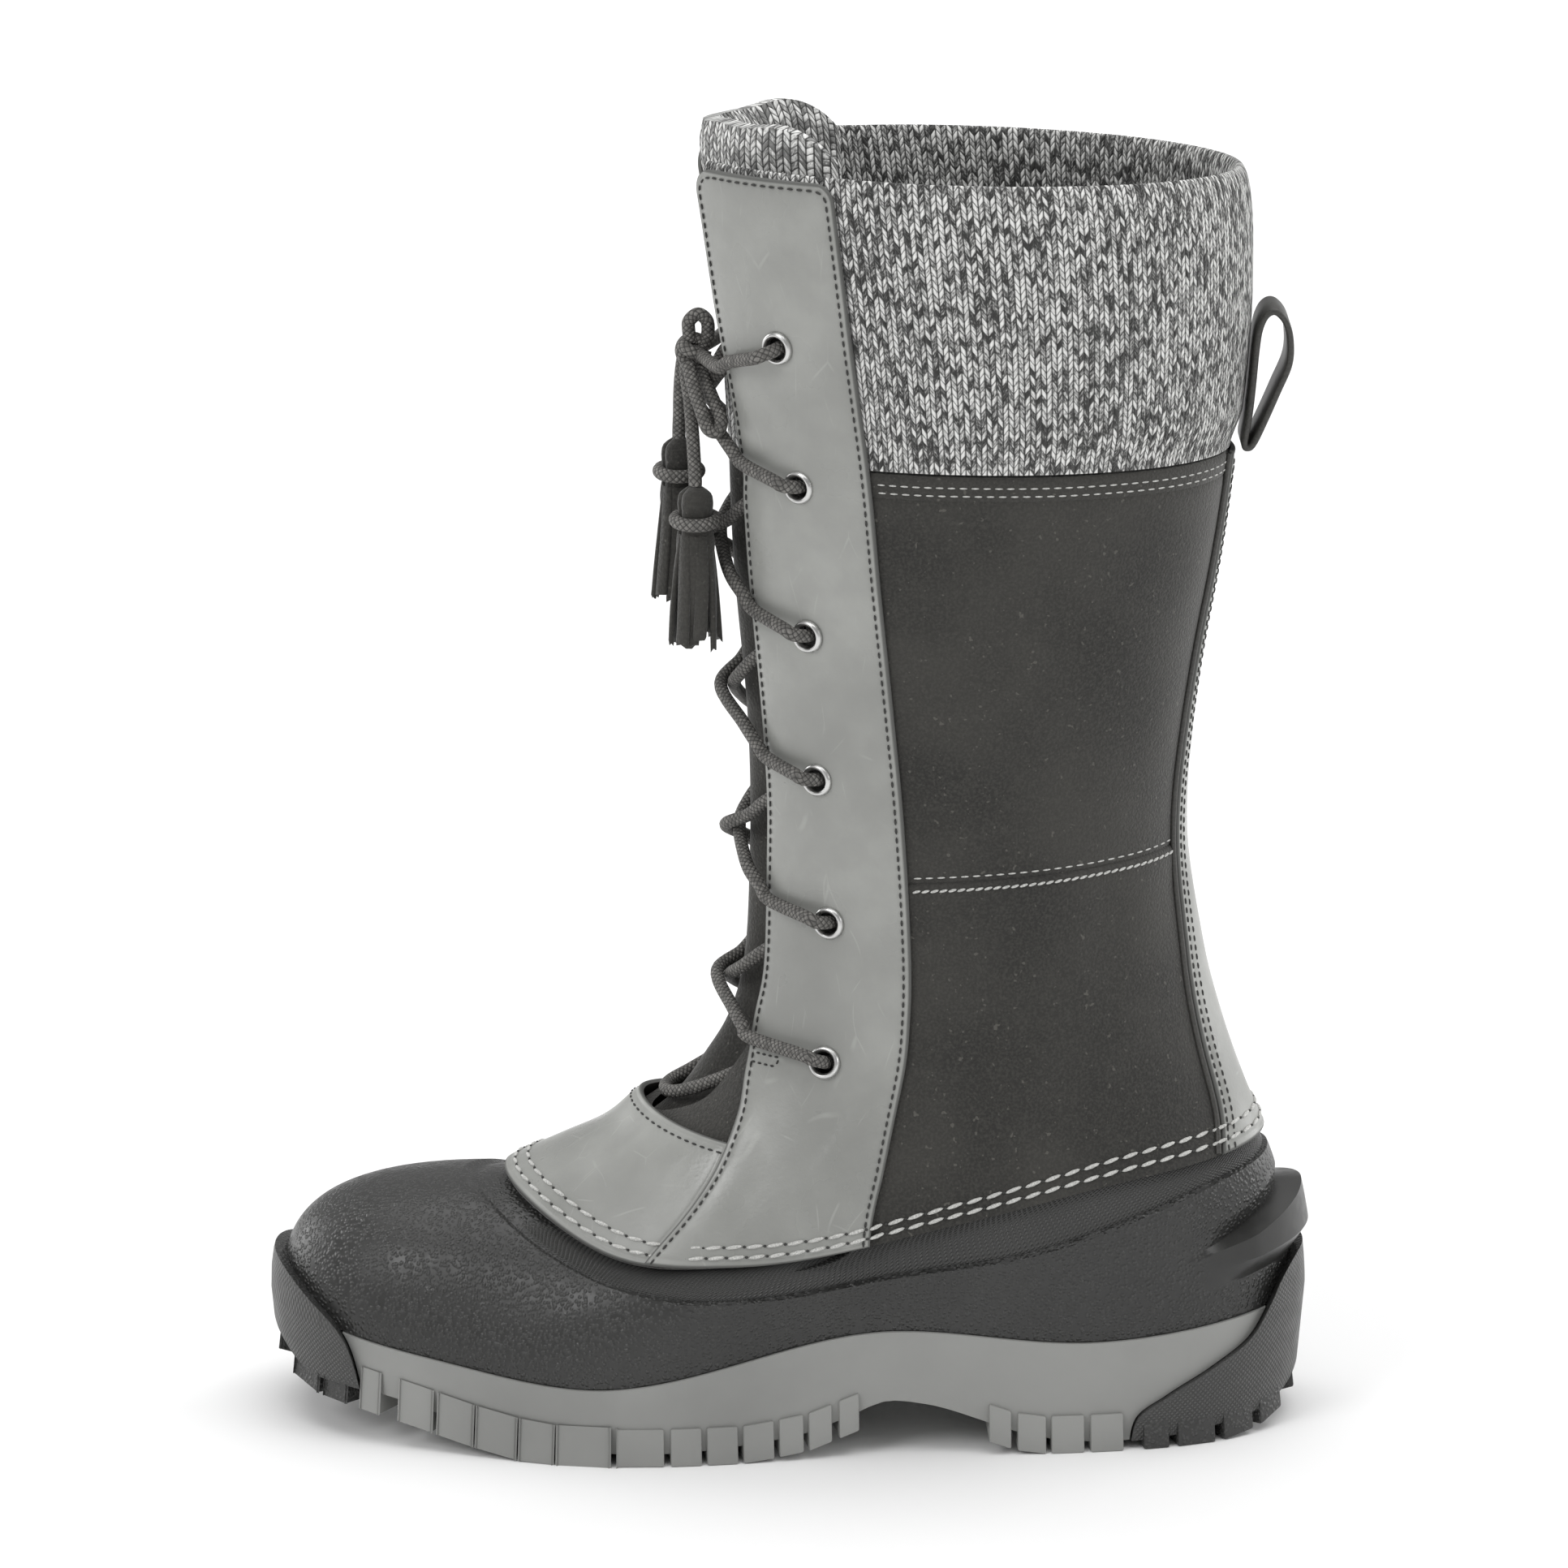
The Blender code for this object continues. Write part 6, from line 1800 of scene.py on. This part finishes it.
    def build_knot(self) -> None:
        """Knot with its top loop and the laces from both top eyelets."""
        radius = self.knot_size / 2 - LAY.lace_radius
        centre = self.from_knot(((0.0, 0.0, 0.0),))[0]
        lines = []
        turns = np.linspace(0, math.tau, 13)
        for tilt, axis in self.knot_wraps:
            turn = np.array(Matrix.Rotation(math.radians(tilt), 3, axis))
            circle = np.stack([radius * np.cos(turns), radius * np.sin(turns), 0 * turns], -1) @ turn.T
            lines.append(circle + centre)
        row, angle = EYELETS[-1]
        for side in Side:
            places = [
                *self.over_flange(row, angle, -1.0), (row - 0.14, self.throat_angle(row) + 7.0, self.laid_at),
                (row - 0.20, self.throat_angle(row) + 1.0, self.laid_at),
            ]
            line = [LAST.layer(turn * side.value, place, offset) for place, turn, offset in places]
            tail = centre + np.array((0.0, side.value * 0.8 * LAY.lace_radius, 0.0))
            lines.append(np.array([*line, tail]))
        lines.append(self.from_knot([(-0.2, 0.0, 0.6), *self.top_loop, (0.8, 0.0, 0.3)]))
        mesh = cord("braided_knot", lines, LAY.lace_radius, 64)
        shown("braided_knot", mesh, [LACE_BRAID], ["lace_knot", "lace_loop_top"])

    def build_ends(self) -> None:
        """The bow's low loop and the two hanging ends with their tassels."""
        ends = (
            ("lace_end_near", "tassel_near", [(-0.1, -0.1, -0.3), *self.near_end], 5),
            ("lace_end_far", "tassel_far", [(-0.2, 0.2, 0.4), (-0.5, 0.5, -0.2), *self.far_end, (-1.1, 1.3, -7.9)], 9),
        )
        for node, tassel_node, places, seed in ends:
            points = self.from_knot(places)
            top = self.from_knot([(self.near_end if node.endswith("near") else self.far_end)[-1]])[0]
            tassel = Tassel(tassel_node, top - np.array((0.0, 0.0, LAY.gap)), seed).build()
            self.free(f"braided_{node}", node, points, "fitting", [tassel])
        self.free("braided_loop_low", "lace_loop_low", self.from_knot(self.low_loop), "object", [])

    def free(self, name: str, node: str, points: Array, far_end: str, pieces: list[bpy.types.Object]) -> None:
        """A free length of lace, built as a cord."""
        path = through(points, np.linspace(0, len(points) - 1, self.path_points))
        length = float(np.linalg.norm(np.diff(path, axis=0), axis=1).sum())
        made = shown(name, cord(name, [points], LAY.lace_radius, 50), [LACE_BRAID], [node])
        log.info("%s: %.1f mm long", name, length / MM)

    def build(self) -> None:
        """Build and dress the lacing."""
        self.build_eyelets()
        self.build_crossings()
        self.build_knot()
        self.build_ends()


@dataclass
class PullLoop:
    """Leather strap folded into a finger loop at the back."""

    width: float = 20.0 * MM
    strap: float = 1.8 * MM
    reach: float = 15.5 * MM
    line: tuple[Pair, ...] = (
        (7.985, 0.360), (8.20, 0.385), (8.45, 0.385), (8.72, 0.385), (8.88, 0.42), (8.98, 0.53), (9.00, 0.70),
        (8.92, 0.89), (8.78, 0.99), (8.60, 1.0), (8.38, 0.84), (8.14, 0.66), (7.99, 0.53), (7.95, 0.44),
    )

    def build(self) -> None:
        """Build and dress the loop."""
        rows, reach = (np.array(column) for column in zip(*self.line))
        line = LAST.surface(180.0, rows)[:, [0, 2]] + np.stack([reach * self.reach, 0 * reach], -1)
        looped = np.concatenate([line[-3:], line, line[:3]])
        curve = through(looped, np.linspace(3, len(line) + 3, 121))
        curve[-1] = curve[0]
        along = np.roll(curve[:-1], -1, axis=0) - np.roll(curve[:-1], 1, axis=0)
        along = np.concatenate([along, along[:1]])
        across = np.stack([along[:, 1], -along[:, 0]], -1) / np.linalg.norm(along, axis=1, keepdims=True)
        half, thick, soft = self.width / 2, self.strap / 2, 0.6 * MM
        plan = [
            (thick, -half + soft), (thick, half - soft), (thick * 0.7, half - soft * 0.3), (0.0, half),
            (-thick * 0.7, half - soft * 0.3), (-thick, half - soft), (-thick, -half + soft),
            (-thick * 0.7, -half + soft * 0.3), (0.0, -half), (thick * 0.7, -half + soft * 0.3), (thick, -half + soft),
        ]
        rings = [
            np.stack([curve[:, 0] + across[:, 0] * out, np.full(len(curve), y), curve[:, 1] + across[:, 1] * out], -1)
            for out, y in plan
        ]
        mesh = laid("leather_pull_loop", np.array(rings), None, None, 60.0)
        shown("leather_pull_loop", mesh, [STRAP_LEATHER], ["pull_loop"])


@dataclass
class Studio:
    """Camera at the photograph's angle, soft lights and the pale floor."""

    eye: Triple = (0.0, -2.140, 0.749)
    aim: Triple = (0.0, 0.0, 0.190)
    lens: float = 178.04
    shift: Pair = (-0.00155, -0.00815)
    floor_size: float = 40.0
    sky: float = 0.42
    lit: Triple = (0.0, 0.0, 0.17)
    lamps: tuple[tuple[str, Triple, float, float], ...] = (
        ("key_light", (-1.6, -1.5, 1.9), 24.0, 0.75), ("side_light", (2.0, -0.6, 0.9), 20.0, 0.45),
        ("top_light", (0.2, 0.2, 2.2), 70.0, 1.8), ("toe_light", (-1.9, 1.2, 0.6), 34.0, 0.9),
        ("heel_light", (1.9, 1.2, 0.8), 34.0, 0.9),
    )

    def pointed(self, made: bpy.types.Object, place: Sequence[float], aim: Sequence[float]) -> None:
        """Put an object at a place, looking at another."""
        made.location = place
        made.rotation_euler = (Vector(aim) - Vector(place)).to_track_quat("-Z", "Y").to_euler()
        bpy.context.scene.collection.objects.link(made)

    def build_camera(self) -> None:
        """Camera that shows the boot as the photograph does."""
        view = bpy.data.cameras.new("camera")
        view.lens, view.sensor_width = self.lens, 36.0
        view.shift_x, view.shift_y = self.shift
        made = bpy.data.objects.new("camera", view)
        self.pointed(made, self.eye, self.aim)
        bpy.context.scene.camera = made

    def light(self, name: str, place: Sequence[float], width: float, strength: float) -> None:
        """Soft distant light, this many degrees wide, from the direction of a place."""
        lamp = bpy.data.lights.new(name, "SUN")
        lamp.angle, lamp.energy = math.radians(width), strength
        self.pointed(bpy.data.objects.new(name, lamp), place, self.lit)

    def build(self) -> None:
        """Set up the studio."""
        self.build_camera()
        for lamp in self.lamps:
            self.light(*lamp)
        world = bpy.data.worlds.new("studio")
        world.use_nodes = True
        sky = world.node_tree.nodes["Background"]
        sky.inputs["Color"].default_value = (1.0, 1.0, 1.0, 1.0)
        sky.inputs["Strength"].default_value = self.sky
        bpy.context.scene.world = world
        bpy.context.scene.view_settings.view_transform = "Standard"
        solid = bmesh.new()
        bmesh.ops.create_grid(solid, x_segments=1, y_segments=1, size=self.floor_size / 2)
        mesh = made_mesh("floor", solid)
        floor = bpy.data.objects.new("floor", mesh)
        mesh.materials.append(Finish("pale_floor", (0.92, 0.92, 0.92), 0.8).material())
        bpy.context.scene.collection.objects.link(floor)


def dress_insole() -> None:
    """Give the insole its felt."""
    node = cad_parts["insole"]
    for slot in node.material_slots:
        slot.material = LINING_FELT.material()


def main() -> None:
    """Build the dressed boot."""
    logging.basicConfig(level=logging.INFO, format="%(message)s")
    Studio().build()
    leg = Leg()
    for assembly in (Lacing(), Galosh(), Outsole(), leg, Tongue(), PullLoop()):
        assembly.build()
        log.info("%s built", type(assembly).__name__)
    leg.sew()
    dress_insole()


if __name__ == "__main__":
    main()
